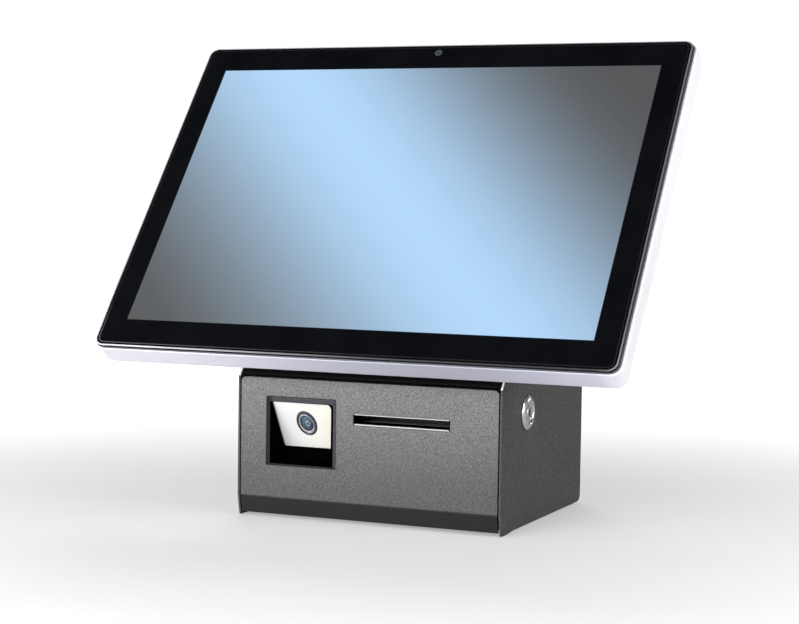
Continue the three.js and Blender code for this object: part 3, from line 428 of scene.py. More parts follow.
def smooth(me, angle=32):
    me.polygons.foreach_set("use_smooth", [True] * len(me.polygons))
    me.set_sharp_from_angle(angle=math.radians(angle))
    me.update()


def place(o, body, replaces=()):
    if replaces:
        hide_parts(*replaces)
    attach(o, body)
    return o


def from_bm(bm):
    me = bpy.data.meshes.new("m")
    bm.normal_update()
    bm.to_mesh(me)
    bm.free()
    return me


def rr(x0, x1, y0, y1, r, seg=8):
    """Rounded rectangle, counter-clockwise; r is one radius or bl, br, tr, tl."""
    q = r if isinstance(r, (list, tuple)) else [r] * 4
    out = []
    for (cx, cy, a, k) in ((x0, y0, 180, 0), (x1, y0, 270, 1), (x1, y1, 0, 2), (x0, y1, 90, 3)):
        rad = q[k]
        ox = cx + (rad if cx == x0 else -rad)
        oy = cy + (rad if cy == y0 else -rad)
        if rad < 1e-6:
            out.append((cx, cy))
            continue
        for i in range(seg + 1):
            t = math.radians(a + 90 * i / seg)
            out.append((ox + rad * math.cos(t), oy + rad * math.sin(t)))
    return out


def ring(cx, cy, r, seg=48, sx=1.0):
    return [(cx + sx * r * math.cos(2 * math.pi * i / seg), cy + r * math.sin(2 * math.pi * i / seg)) for i in range(seg)]


def sheet(outlines, t, bevel=0.35, res=2):
    """Flat plate of thickness t with holes, edges rounded: u, v in its plane, thickness along +w (0..t)."""
    cu = bpy.data.curves.new("c", "CURVE")
    cu.dimensions = "2D"
    cu.fill_mode = "BOTH"
    for pts in outlines:
        sp = cu.splines.new("POLY")
        sp.points.add(len(pts) - 1)
        for p, (a, b) in zip(sp.points, pts):
            p.co = (a, b, 0, 1)
        sp.use_cyclic_u = True
    cu.extrude = t / 2 - bevel
    cu.bevel_depth = bevel
    cu.bevel_resolution = res
    cu.offset = -bevel
    o = bpy.data.objects.new("c", cu)
    S.collection.objects.link(o)
    dg = bpy.context.evaluated_depsgraph_get()
    me = bpy.data.meshes.new_from_object(o.evaluated_get(dg))
    bpy.data.objects.remove(o)
    bpy.data.curves.remove(cu)
    bm = bmesh.new()
    bm.from_mesh(me)
    bpy.data.meshes.remove(me)
    bmesh.ops.remove_doubles(bm, verts=bm.verts, dist=1e-4)
    bmesh.ops.recalc_face_normals(bm, faces=bm.faces)
    bmesh.ops.translate(bm, verts=bm.verts, vec=(0, 0, t / 2))
    return bm


UVW_XZ = Matrix(((1, 0, 0, 0), (0, 0, 1, 0), (0, 1, 0, 0), (0, 0, 0, 1)))   # (u, v, w) -> (x=u, y=w, z=v)
UVW_YZ = Matrix(((0, 0, 1, 0), (1, 0, 0, 0), (0, 1, 0, 0), (0, 0, 0, 1)))   # (u, v, w) -> (x=w, y=u, z=v)


def xf(bm, m):
    bm.transform(m)
    if m.to_3x3().determinant() < 0:
        bmesh.ops.reverse_faces(bm, faces=bm.faces)
    return bm


def plate_xz(outlines, y0, t, bevel=0.35, res=2):
    return xf(sheet(outlines, t, bevel, res), Matrix.Translation((0, y0, 0)) @ UVW_XZ)


def plate_yz(outlines, x0, t, bevel=0.35, res=2):
    return xf(sheet(outlines, t, bevel, res), Matrix.Translation((x0, 0, 0)) @ UVW_YZ)


def join(*bms):
    out = bmesh.new()
    for b in bms:
        me = from_bm(b)
        out.from_mesh(me)
        bpy.data.meshes.remove(me)
    return out


def rbox(x0, x1, y0, y1, z0, z1, bevel=0.3, seg=2):
    bm = bmesh.new()
    bmesh.ops.create_cube(bm, size=1)
    bm.transform(Matrix.Translation(((x0 + x1) / 2, (y0 + y1) / 2, (z0 + z1) / 2)) @ Matrix.Diagonal((x1 - x0, y1 - y0, z1 - z0, 1)))
    if bevel:
        bmesh.ops.bevel(bm, geom=list(bm.edges), offset=bevel, segments=seg, profile=0.5, affect="EDGES", clamp_overlap=True)
    return bm


def turned(profile, axis, origin, seg=64, sx=1.0):
    """Solid of revolution of (radius, along) about an axis through origin."""
    bm = bmesh.new()
    rows = []
    for r, a in profile:
        if r < 1e-6:
            rows.append([bm.verts.new((0, 0, a))])
        else:
            rows.append([bm.verts.new((r * math.cos(2 * math.pi * i / seg), r * math.sin(2 * math.pi * i / seg), a)) for i in range(seg)])
    for p, q in zip(rows, rows[1:]):
        for i in range(seg):
            j = (i + 1) % seg
            a, b = p[i % len(p)], p[j % len(p)]
            c, d = q[j % len(q)], q[i % len(q)]
            vs = []
            for v in (a, b, c, d):
                if v not in vs:
                    vs.append(v)
            if len(vs) > 2:
                bm.faces.new(vs)
    bmesh.ops.recalc_face_normals(bm, faces=bm.faces)
    rot = {"Z": Matrix.Identity(4), "X": Matrix.Rotation(math.pi / 2, 4, "Y"), "Y": Matrix.Rotation(-math.pi / 2, 4, "X")}[axis]
    bm.transform(Matrix.Translation(origin) @ Matrix.Diagonal((sx, 1, 1, 1)) @ rot)
    return bm


def loft(secs, seg=14):
    """Closed solid through rounded rectangles (y, half width, half height, radius)."""
    bm = bmesh.new()
    band = bm.faces.layers.int.new("band")
    rows = []
    for y, w, h, r in secs:
        rows.append([bm.verts.new((a, y, b)) for a, b in rr(-w, w, -h, h, max(r, 0.05), seg)])
    for k, (p, q) in enumerate(zip(rows, rows[1:])):
        n = len(p)
        for i in range(n):
            f = bm.faces.new((p[i], p[(i + 1) % n], q[(i + 1) % n], q[i]))
            f[band] = k + 1
    bm.faces.new(rows[0])
    bm.faces.new(rows[-1])
    bmesh.ops.recalc_face_normals(bm, faces=bm.faces)
    return bm


def frame_loft(outer, inner, seg=14):
    """Ring between two loops of sections; outer and inner are lists of (y, w, h, r) of one length."""
    bm = bmesh.new()
    rows = [[bm.verts.new((a, y, b)) for a, b in rr(-w, w, -h, h, max(r, 0.05), seg)] for y, w, h, r in outer + inner[::-1]]
    m = len(rows)
    for k in range(m):
        p, q = rows[k], rows[(k + 1) % m]
        n = len(p)
        for i in range(n):
            bm.faces.new((p[i], p[(i + 1) % n], q[(i + 1) % n], q[i]))
    bmesh.ops.recalc_face_normals(bm, faces=bm.faces)
    return bm


def cut(me_obj, *cutters):
    """Exact boolean cuts, applied."""
    for c in cutters:
        me = from_bm(c)
        co = bpy.data.objects.new("cut", me)
        S.collection.objects.link(co)
        md = me_obj.modifiers.new("cut", "BOOLEAN")
        md.operation = "DIFFERENCE"
        md.solver = "EXACT"
        md.object = co
        dg = bpy.context.evaluated_depsgraph_get()
        new = bpy.data.meshes.new_from_object(me_obj.evaluated_get(dg))
        me_obj.modifiers.clear()
        me_obj.data = new
        bpy.data.objects.remove(co)
    smooth(me_obj.data)
    return me_obj


def bend(bm, path, radius, thickness_sign=1.0):
    """Maps (x, s, n) to a polyline with rounded corners in (y, z): s along it, n into the sheet (to the right)."""
    pts = [Vector(p) for p in path]
    segs = []          # (kind, length, data)
    cur = pts[0]
    for i in range(1, len(pts)):
        d = (pts[i] - pts[i - 1]).normalized()
        if i < len(pts) - 1:
            e = (pts[i + 1] - pts[i]).normalized()
            turn = math.atan2(d.x * e.y - d.y * e.x, d.dot(e))
            back = radius * math.tan(abs(turn) / 2)
            end = pts[i] - d * back
            segs.append(("line", (end - cur).length, cur.copy(), d))
            nrm = Vector((-d.y, d.x)) * (1 if turn > 0 else -1)
            segs.append(("arc", radius * abs(turn), end + nrm * radius, -nrm, turn))
            cur = pts[i] + e * back
        else:
            segs.append(("line", (pts[i] - cur).length, cur.copy(), d))
    total = sum(s[1] for s in segs)
    # cuts across the sheet where it bends
    at = 0
    for sg in segs:
        if sg[0] == "arc":
            for k in range(7):
                s = at + sg[1] * k / 6
                geom = list(bm.verts) + list(bm.edges) + list(bm.faces)
                bmesh.ops.bisect_plane(bm, geom=geom, plane_co=(0, s, 0), plane_no=(0, 1, 0), dist=1e-5)
        at += sg[1]
    for v in bm.verts:
        s, n = v.co.y, v.co.z
        at = 0
        for k, sg in enumerate(segs):
            if s <= at + sg[1] + 1e-9 or k == len(segs) - 1:
                l = s - at
                if sg[0] == "line":
                    d = sg[3]
                    p = sg[2] + d * l
                    right = Vector((d.y, -d.x))
                else:
                    a = (l / sg[1]) * sg[4]
                    out = Vector((sg[3].x * math.cos(a) - sg[3].y * math.sin(a), sg[3].x * math.sin(a) + sg[3].y * math.cos(a)))
                    p = sg[2] + out * radius
                    right = out if sg[4] > 0 else -out
                p = p + right * n
                v.co = (v.co.x, p.x, p.y)
                break
            at += sg[1]
    bmesh.ops.recalc_face_normals(bm, faces=bm.faces)
    return total


# ------------------------------------------------------------ display, glass
bm = loft([(0.0, HW - 4.5, HH - 4.5, 5.4), (0.0, HW - 3.7, HH - 3.7, 5.9), (0.0, HW - 2.8, HH - 2.8, 6.6), (0.0, HW - 1.95, HH - 1.95, 7.2), (0.40, HW - 0.75, HH - 0.75, 8.0),
           (0.55, HW - 0.62, HH - 0.62, 8.1), (1.0, HW - 0.5, HH - 0.5, 8.3), (1.6, HW - 0.45, HH - 0.45, 8.3), (2.2, HW - 0.45, HH - 0.45, 8.3), (2.5, HW - 0.7, HH - 0.7, 8.0)])
band = bm.faces.layers.int.get("band")
for f in bm.faces:
    if f[band] == 4:
        f.material_index = 1
    elif f[band] == 1:
        f.material_index = 2
    elif f[band] >= 5:
        f.material_index = 3
glass = obj_from(from_bm(bm), "cover_glass", [M["glass"], M["glass_edge"], M["glass_line"], M["glass_side"]], DISPLAY, 20)
place(glass, "base", ["glass_panel"])

bm = frame_loft([(2.8, HW - 0.9, HH - 0.9, 8.1), (3.0, HW - 0.5, HH - 0.5, 8.4), (4.2, HW - 0.5, HH - 0.5, 8.4), (4.4, HW - 0.8, HH - 0.8, 8.1)],
                [(2.8, HW - 4.2, HH - 4.2, 5), (3.0, HW - 4.0, HH - 4.0, 5), (4.2, HW - 4.0, HH - 4.0, 5), (4.4, HW - 4.2, HH - 4.2, 5)])
place(obj_from(from_bm(bm), "glass_trim", M["trim"], DISPLAY @ Matrix.Translation((0.9, 0, 0))), "base", ["trim_ring"])

rim = [(4.5, HW - 3.0, HH - 3.0, 6.5), (4.5, HW - 0.9, HH - 0.9, 8.6), (4.6, HW - 0.45, HH - 0.45, 9.0), (4.95, HW - 0.1, HH - 0.1, 9.3), (5.4, HW, HH, 9.4),
       (5.85, HW, HH, 9.4), (21.5, HW, HH, 9.4), (22.0, HW, HH, 9.4), (22.8, HW - 0.25, HH - 0.25, 9.2), (23.5, HW - 0.85, HH - 0.85, 8.8), (24.5, HW - 1.9, HH - 1.9, 8.2), (24.95, HW - 2.6, HH - 2.6, 7.8), (25.1, HW - 3.4, HH - 3.4, 7.4)]
hump = [(23.0, 158.4, 112.4, 10), (24.2, 157.8, 111.8, 10.5), (34, 153, 107, 12), (42.6, 148.4, 102.4, 12), (44.3, 147.3, 101.3, 12), (45.4, 145.8, 99.8, 11), (46.0, 143.2, 97.2, 10)]
rim_bm = loft(rim, 16)
rim_bm.transform(Matrix.Translation((1.4, 0, 0)) @ Matrix.Diagonal((1 + 0.9 / HW, 1, 1, 1)))
shell = obj_from(from_bm(rim_bm), "display_shell", M["shell"], None)
cut(shell, turned([(0, 20.2), (4.3, 20.2), (4.3, 29), (0, 29)], "Y", (192, 0, -138), 40))
back_shell = obj_from(from_bm(loft(hump, 10)), "shell_back", M["shell"], None)
vents = []
for r in range(2):
    for i in range(8):
        vents.append(rbox(-106 + i * 27, -86 + i * 27, 43, 50, 76 if r else 68, 79 if r else 71, 0.6, 2))
cut(back_shell, join(*vents))
cut(back_shell, turned([(0, 40), (11, 40), (11, 50), (0, 50)], "Y", (0, 0, 0), 48))
for x, wd in ((-60, 16), (-36, 14), (-14, 14), (12, 18)):
    cut(back_shell, rbox(x, x + wd, 30, 37, -118, -103, 0.5, 2))
both = bmesh.new()
both.from_mesh(shell.data)
both.from_mesh(back_shell.data)
both.to_mesh(shell.data)
both.free()
bpy.data.objects.remove(back_shell)
smooth(shell.data)
shell.data.transform(DISPLAY)
place(shell, "base", ["rear_housing"])

place(obj_from(from_bm(turned([(0, 22.6), (3.9, 22.6), (3.9, 25.1), (3.7, 25.55), (3.2, 25.75), (2.2, 25.62), (0, 25.5)], "Y", (192, 0, -138), 48)),
               "display_power_button", M["black"], DISPLAY), "display_button", ["power_button"])

# ---------------------------------------------------------------- front door
FOLD_S = 117.4 - 18.0


b = sheet([rr(-DOOR, DOOR, 0.0, FOLD_S + 15.3, [4, 4, 0.4, 0.4], 10), rr(-91.6, -27.3, 15.0, 73.0, 1.2, 5), rr(-11.8, 73.6, 25.6, 35.3, 0.9, 5)], 2.0, 0.32, 3)
for v in b.verts:
    v.co.z = -v.co.z
bmesh.ops.reverse_faces(b, faces=b.faces)
bend(b, [(0, 117.4), (0, 18.0), (3.0, 2.9)], 1.6)
parts = [b]
for k in (-1, 1):
    x = (lambda p, q: (p, q)) if k > 0 else (lambda p, q: (-q, -p))
    parts.append(rbox(*x(DOOR - 2, DOOR - 0.05), 1.2, 14, 20, 112, 0.35))
    parts.append(rbox(*x(109, 114.6), 3.2, 9, 6, 12, 0.3))
    parts.append(turned([(0, 109), (3.6, 109), (3.9, 109.3), (3.9, 114.3), (3.6, 114.6), (0, 114.6)] if k > 0 else [(0, -114.6), (3.6, -114.6), (3.9, -114.3), (3.9, -109.3), (3.6, -109), (0, -109)], "X", (0, 9, 9), 40))
parts.append(rbox(-111, 111, 1.2, 11, 115.45, 117.35, 0.35))
place(obj_from(from_bm(join(*parts)), "door_panel", M["powder_door"], BASE, 28), "door", ["front_door"])

# ---------------------------------------------------------------- side plates
profile = [(0, 18), (3, 2.9), (4.1, 0.4), (16.8, 0.4), (31.9, 1.6), (DEPTH - 9.6, 1.6), (DEPTH - 5.2, 2.0), (DEPTH - 1.7, 3.5), (DEPTH - 0.3, 5.6), (DEPTH, 8.4), (DEPTH, 291), ((291 - 118) * math.tan(TILT), 291), (0, 118)]
for side, k in (("left", -1), ("right", 1)):
    holes = [ring(58.3, 94.7, 9.8, 48)] if k > 0 else []
    p = plate_yz([profile] + holes, INNER if k > 0 else -OUTER, 1.8, 0.28, 3)
    fl = rbox(*((102, 116.8) if k > 0 else (-116.8, -102)), DEPTH - 4.3, DEPTH - 2.3, 10, 286, 0.3)
    o = obj_from(from_bm(join(p, fl)), f"shell_side_{side}", M["powder_side"], BASE, 28)
    o.data.materials.append(M["sheet_edge"])
    # the slanted front edge faces get the painted highlight
    for f in o.data.polygons:
        if f.center.z > 0.1175 and f.normal.y < -0.3 and 0.3 < f.normal.z < 0.9:
            f.material_index = 1
    place(o, "base", [f"side_plate_{side}"])

# ------------------------------------------------------------- slope and roof
s_, c_ = math.sin(TILT), math.cos(TILT)
def on(z, d=0.3):
    L = (z - 118 + d * s_) / c_
    return (d * c_ + s_ * L, z)
path = [(16, 118.2), on(118.2), on(290.7), (DEPTH, 290.7)]
lens = [math.dist(a, b) for a, b in zip(path, path[1:])]
# bend() shortens the path at each corner, so the flat length is measured the same way
def flat_length(path, r):
    total = 0
    for i in range(1, len(path)):
        total += math.dist(path[i - 1], path[i])
    for i in range(1, len(path) - 1):
        d = Vector(path[i]) - Vector(path[i - 1]); e = Vector(path[i + 1]) - Vector(path[i])
        t = abs(math.atan2(d.x * e.y - d.y * e.x, d.dot(e)))
        total += r * t - 2 * r * math.tan(t / 2)
    return total
R = 2.0
# positions of the display fixings along the flat sheet
first = math.dist(path[0], path[1])
turn = lambda a, b, c: abs(math.atan2((b[0]-a[0])*(c[1]-b[1])-(b[1]-a[1])*(c[0]-b[0]), (b[0]-a[0])*(c[0]-b[0])+(b[1]-a[1])*(c[1]-b[1])))
t1 = turn(*path[:3])
offset1 = first + R * t1 - 2 * R * math.tan(t1 / 2)
centre = offset1 + ((92.4 - path[1][0]) ** 2 + (237.3 - path[1][1]) ** 2) ** 0.5
total = flat_length(path, R)
b = sheet([rr(-PANEL, PANEL, 0, total, 0.3, 2), ring(0, centre, 13.2, 48)] + [ring(x, centre + z, 2.5, 24) for x in (-70, 70) for z in (-45, 45)], 2.0, 0.3, 3)
bend(b, path, R)
place(obj_from(from_bm(b), "slope_cover", M["powder_slope"], BASE, 28), "base", ["top_cover"])

# ----------------------------------------------------------------- rear panel
outl = [rr(-PANEL, PANEL, 7.6, 288.4, 0.5, 2), rr(-83.9, -56.1, 29.9, 50.1, 0.8, 3), rr(-40.2, -27.8, 30.2, 49.8, 0.6, 3), ring(60, 40, 8.2, 40)]
outl += [ring(x, z, 1.75, 20) for x in (-107.5, 107.5) for z in (26, 270)]
for r in range(2):
    for i in range(9):
        outl.append(rr(-82 + i * 19, -77 + i * 19, 190 + r * 38, 222 + r * 38, 2.4, 6))
place(obj_from(from_bm(plate_xz(outl, DEPTH - 2, 2, 0.3, 3)), "shell_rear", M["powder"], BASE, 28), "base", ["rear_panel"])

# --------------------------------------------------------- scanner in the door
x0, x1, z0, z1 = -88.3, -32.5, 45.8, 97.7
lip = plate_xz([rr(-91.3, -27.6, 44.7, 102.1, [0.8, 0.8, 2.2, 0.8], 6), rr(x0, -30.2, z0, 97.9, [0.6, 0.8, 3.0, 0.8], 8)], 0.5, 2.5, 0.35, 3)
lipo = obj_from(from_bm(lip), "scanner_lip", M["lip"], BASE, 28)
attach(lipo, "door")
rim = plate_xz([rr(x0, -30.1, z0, 98.0, [0.6, 0.8, 2.6, 0.8], 6), rr(x0 + 0.35, x1, z0 + 0.3, z1, [1.0, 1.2, 4.6, 1.5], 10)], 1.1, 1.6, 0.3, 2)
fl = plate_xz([rr(-96.5, -23.4, 41, 106, 2, 5), rr(x0, x1, z0, z1 + 1.4, 0.6, 3)], 2.35, 1.75, 0.3, 2)
tb = plate_xz([rr(x0 - 1.8, x1 + 1.8, z0 - 1.8, z1 + 3.2, 1, 4), rr(x0, x1, z0, z1 + 1.4, 0.4, 3)], 3.0, 41, 0.3, 2)
wall = rbox(x0 - 1, x1 + 1, 27.7, 29.5, z0 - 1, 57.1, 0.3)
hood = obj_from(from_bm(join(rim, fl, tb, wall)), "scanner_shroud", [M["hood"], M["black"]], BASE, 28)
for f in hood.data.polygons:
    c = BASE.inverted() @ f.center
    if c.y > 2.3 and (c.x < x0 - 1.2 or c.x > x1 + 1.2 or c.z < z0 - 1.2 or c.z > z1 + 2.4):
        f.material_index = 1
place(hood, "door", ["scanner_hood"])
face = plate_xz([rr(-27.1, 27.1, -25.7, 21.4, [2.2, 2.2, 0.6, 0.6], 6), [(0.855 * a_, 1.155 * b_) for a_, b_ in ring(0, 0, 10.7, 72)]], 0, 2, 0.55, 4)
fo = obj_from(from_bm(face), "scanner_face", [M["diffuser"], M["face_edge"]], None, 40)
for f in fo.data.polygons:
    if f.center.x < -26.35:
        f.material_index = 1
fo.data.transform(SCAN)
place(fo, "door", ["scanner_diffuser"])
rings = turned([(6.9, 2.1), (6.9, -0.05), (7.15, -0.4), (7.5, -0.5), (7.8, -0.3), (8.0, 0.0), (8.35, 0.05), (8.6, -0.1), (8.75, -0.75), (9.0, -1.0), (9.9, -1.0), (10.25, -0.8), (10.4, -0.3), (10.4, 2.1), (6.9, 2.1)], "Y", (0, 0, 0), 72)
rings.transform(Matrix.Diagonal((0.85, 1, 1.155, 1)))
bmesh.ops.remove_doubles(rings, verts=rings.verts, dist=1e-4)
ro = obj_from(from_bm(rings), "scanner_bezel", [M["lensring"], M["slotlip"]], None, 30)
for p in ro.data.polygons:
    c = p.center
    r = math.hypot(c.x / 0.85, c.z / 1.155)
    if 7.0 < r < 7.7 or 8.0 < r < 8.62:
        p.material_index = 1
ro.data.transform(SCAN)
place(ro, "door", ["scanner_lens_ring"])
lens_bm = turned([(0, -0.9), (0.9, -0.88), (1.6, -0.7), (1.75, -0.45), (2.3, -0.45), (2.5, -0.68), (4.0, -0.42), (5.2, -0.1), (5.5, 0.25), (6.0, 0.3), (6.6, 0.3), (6.6, 2.0), (0, 2.0)], "Y", (0, 0, 0), 72)
lens_bm.transform(Matrix.Diagonal((0.85, 1, 1.155, 1)))
lo = obj_from(from_bm(lens_bm), "scanner_optic", [M["lens"], M["slotlip"], M["lensring"]], None, 30)
for p in lo.data.polygons:
    c = p.center
    r = math.hypot(c.x / 0.85, c.z / 1.155)
    if c.y < 1.0:
        if 1.6 < r < 2.35:
            p.material_index = 1
        elif 5.45 < r:
            p.material_index = 2
for v in lo.data.vertices:
    r = math.hypot(v.co.x / 0.85, v.co.z / 1.155)
    if r < 5.6:
        v.co.x += 1.3 * (1 - (r / 5.6) ** 2)
        v.co.z += 0.4 * (1 - (r / 5.6) ** 2)
lo.data.transform(SCAN)
place(lo, "door", ["scanner_lens"])

# ------------------------------------------------------------------ slot guide
cx, cz = (73.6 - 11.8) / 2, (82.1 + 91.8) / 2
hw, hh = 42.7, 4.85
collar = plate_xz([rr(cx - hw + 0.25, cx + hw - 0.25, cz - hh + 0.25, cz + hh - 0.25, 0.8, 4), rr(cx - hw + 0.95, cx + hw - 0.95, cz - hh + 1.35, cz + hh - 1.05, 0.4, 4)], 0.35, 2.2, 0.3, 3)
co = obj_from(from_bm(collar), "slot_lips", [M["slotlip"], M["hood"]], BASE, 30)
for p in co.data.polygons:
    c = (BASE.inverted() @ p.center)
    if abs(c.x - cx) > hw - 1.3:
        p.material_index = 1
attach(co, "door")
outer = [(2.35, 47, 8, 2), (2.6, 47.0, 8, 2), (12.3, 47, 8, 2), (12.6, 46.7, 7.7, 2)]
inner = [(2.35, 42.0, 4.0, 0.6), (2.6, 42.0, 4.0, 0.6), (12.3, 41.6, 2.65, 0.6), (12.6, 41.6, 2.6, 0.6)]
fb = frame_loft(outer, inner, 5)
fb.transform(Matrix.Translation((cx, 0, cz)))
place(obj_from(from_bm(fb), "slot_funnel", M["hood"], BASE, 30), "door", ["slot_guide"])

# ------------------------------------------------------------------------ lock
body = turned([(7.0, 100), (9.2, 100), (9.5, 100.3), (9.5, 118.0), (9.5, 118.15), (14.2, 118.15), (14.3, 118.3), (14.3, 119.1), (14.1, 119.45), (13.5, 119.85), (12.6, 120.5), (11.6, 120.95), (10.4, 121.2),
               (9.4, 121.2), (8.9, 120.95), (8.6, 120.4), (8.2, 120.1), (7.2, 120.05), (7.0, 119.9), (7.0, 100)], "X", (0, 58.3, 94.7), 96)
bmesh.ops.remove_doubles(body, verts=body.verts, dist=1e-4)
place(obj_from(from_bm(body), "lock_bezel", M["chrome"], BASE, 30), "base", ["lock_body"])
plug = obj_from(from_bm(turned([(0, 99.2), (6.7, 99.2), (6.9, 99.4), (6.9, 120.2), (6.7, 120.75), (6.2, 121.15), (5.6, 121.3), (5.1, 121.2), (4.7, 120.9), (4.2, 120.8), (2.2, 120.45), (0, 120.35)], "X", (0, 58.3, 94.7), 72)), "lock_cylinder", M["chrome_dark"], None)
cut(plug, rbox(114, 123, 57.35, 59.25, 90.2, 99.2, 0.2), rbox(119.3, 123, 56.5, 60.1, 92.9, 96.5, 0.3))
pb = bmesh.new()
pb.from_mesh(plug.data)
m2 = from_bm(rbox(94.6, 99.6, 55.7, 60.9, 92.1, 97.3, 0.3))
pb.from_mesh(m2)
pb.to_mesh(plug.data)
pb.free()
plug.data.materials.append(M["black"])
for f in plug.data.polygons:
    if f.normal.x < 0.5 and 113.5 < f.center.x < 120.7 and math.hypot(f.center.y - 58.3, f.center.z - 94.7) < 4.9:
        f.material_index = 1
    elif f.center.x < 119.5 and 110 < f.center.x and math.hypot(f.center.y - 58.3, f.center.z - 94.7) < 4.9:
        f.material_index = 1
plug.data.transform(BASE)
smooth(plug.data, 30)
place(plug, "lock_core", ["lock_plug"])
hexa = [(13.4 * math.cos(math.radians(60 * i + 30)), 13.4 * math.sin(math.radians(60 * i + 30))) for i in range(6)]
nut = plate_yz([[(58.3 + a, 94.7 + b_) for a, b_ in hexa], ring(58.3, 94.7, 9.75, 48)], 112.1, 3.8, 0.5, 2)
place(obj_from(from_bm(nut), "lock_back_nut", M["steel"], BASE, 30), "base", ["lock_nut"])

# -------------------------------------------------------------- feet and screws
for n, x, y in (("front_left", -92, 34), ("front_right", 92, 34), ("rear_left", -92, 180), ("rear_right", 92, 180)):
    prof = [(0, 0.35), (4.5, 0.35), (5.2, 0.0), (8.4, 0.0), (9.1, 0.25), (9.55, 0.9), (9.6, 1.6), (9.35, 4.4), (9.1, 4.85), (8.6, 4.95), (3.1, 4.95), (3.1, 7.5), (4.0, 7.8), (4.0, 8.3), (3.1, 9.8), (0, 10)]
    place(obj_from(from_bm(turned(prof, "Z", (x, y, 0), 56)), f"pad_{n}", M["rubber"], BASE, 30), "base", [f"foot_{n}"])


def screw(name, node, profile, at, matrix, mat, depth0, depth1, size):
    o = obj_from(from_bm(turned(profile, "Y", (at[0], 0, at[1]), 40)), name, mat, None)
    x, z = at
    cut(o, join(rbox(x - size, x + size, depth0, depth1, z - 0.45, z + 0.45, 0.12)), rbox(x - 0.45, x + 0.45, depth0, depth1, z - size, z + size, 0.12))
    o.data.transform(matrix)
    place(o, "base", [node])


for n, x, z in (("ul", -107.5, 270), ("ur", 107.5, 270), ("ll", -107.5, 26), ("lr", 107.5, 26)):
    screw(f"panel_screw_{n}", f"rear_screw_{n}", [(0, 196.2), (1.0, 196.2), (1.45, 196.7), (1.45, 203.95), (3.25, 203.95), (3.3, 204.15), (3.2, 204.7), (2.85, 205.25), (2.2, 205.6), (1.2, 205.78), (0, 205.8)], (x, z), BASE, M["screw"], 204.5, 207.2, 1.7)
for n, x, z in (("ul", -50, 50), ("ur", 50, 50), ("ll", -50, -50), ("lr", 50, -50)):
    screw(f"bracket_screw_{n}", f"vesa_screw_{n}", [(0, 40.5), (1.4, 40.5), (1.9, 41.0), (1.9, 48.65), (3.8, 48.65), (3.9, 48.9), (3.75, 49.7), (3.2, 50.4), (2.2, 50.85), (0, 51.0)], (x, z), DISPLAY, M["screw"], 49.7, 52, 2.0)

# ------------------------------------------------- rubber trim and connectors
gl = turned([(4.4, 198.2), (7.0, 198.2), (7.9, 199.8), (7.9, 203.95), (10.0, 203.95), (10.2, 204.2), (9.9, 205.4), (9.2, 206.05), (8.0, 206.2), (5.2, 206.2), (4.6, 205.8), (4.4, 198.2)], "Y", (60, 0, 40), 64)
bmesh.ops.remove_doubles(gl, verts=gl.verts, dist=1e-4)
place(obj_from(from_bm(gl), "outlet_gland", M["rubber"], BASE, 30), "base", ["cable_gland"])
gr = turned([(8.6, 56.4), (15.0, 56.5), (15.5, 56.8), (15.4, 57.25), (12.8, 57.6), (12.8, 60.15), (14.7, 60.3), (14.9, 60.7), (14.2, 61.4), (13.2, 61.6), (9.2, 61.6), (8.6, 61.0), (8.6, 56.4)], "Y", (0, 0, 0), 64)
bmesh.ops.remove_doubles(gr, verts=gr.verts, dist=1e-4)
place(obj_from(from_bm(gr), "slope_grommet", M["rubber"], DISPLAY, 30), "base", ["cable_grommet"])

# --------------------------------------------- frame nodes that keep their form
KEEP = {
    "base_plate": "zinc", "printer_chassis": "zinc", "power_supply": "zinc", "display_bracket": "powder", "hinge_pin_left": "steel", "hinge_pin_right": "steel",
    "lock_cam": "steel", "catch_pin": "steel", "door_catch": "zinc", "cutter_blade": "steel", "scanner_body": "black", "cutter_housing": "black", "roll_spindle": "black", "power_inlet": "black",
    "switch_bezel": "black", "rocker": "black", "camera_module": "black", "platen_roller": "platen", "platen_gear": "gear", "idler_gear": "gear", "motor_pinion": "gear",
    "stepper_motor": "alu", "thermal_head": "alu", "lcd_module": "alu", "paper_roll": "paper", "controller_board": "board", "display_board": "board"}
for node, key in KEEP.items():
    o = NODES[node]
    o.data.materials.clear()
    o.data.materials.append(M[key])
    smooth(o.data, 30)
    md = o.modifiers.new("edge", "BEVEL")
    md.width = 0.00025 if node not in ("paper_roll", "stepper_motor") else 0.0005
    md.segments = 2
    md.limit_method = "ANGLE"
    md.angle_limit = math.radians(40)
    md.use_clamp_overlap = True
    md.harden_normals = False

# ------------------------------------------------------------ floor, light, eye
floor_me = from_bm(sheet([rr(-3000, 3000, -3000, 3000, 400, 8)], 4, 0.5, 1))
fm = Nodes("m_floor")
sep = fm.new("ShaderNodeSeparateXYZ")
fm.link(fm.co, sep.inputs[0])
rad = fm.math("SQRT", fm.math("ADD", fm.math("MULTIPLY", sep.outputs["X"], sep.outputs["X"]), fm.math("MULTIPLY", sep.outputs["Y"], sep.outputs["Y"])))
tone = fm.noise(3, 3, 0.5)
# the floor's emission, seen by camera rays only, is painted light: weakest near the object, rising with distance until
# the floor fades into the white backdrop
seen = fm.new("ShaderNodeLightPath").outputs["Is Camera Ray"]
fm.set(Base_Color=fm.ramp(fm.range(tone, 0.3, 0.7, 0, 1), [(0, (0.50, 0.50, 0.51, 1)), (1, (0.54, 0.54, 0.55, 1))]), Roughness=0.8, Specular_IOR_Level=0.1,
       Emission_Color=(1, 1, 1, 1), Emission_Strength=fm.math("MULTIPLY", seen, fm.range(rad, 0.15, 1.2, 0.34, 1.0, True)))
floor = obj_from(floor_me, "floor", fm.m, Matrix.Translation((0, 0, -0.0041)) @ Matrix.Scale(0.001, 4))

w = bpy.data.worlds.new("studio")
S.world = w
w.use_nodes = True
nt = w.node_tree
bg = nt.nodes["Background"]


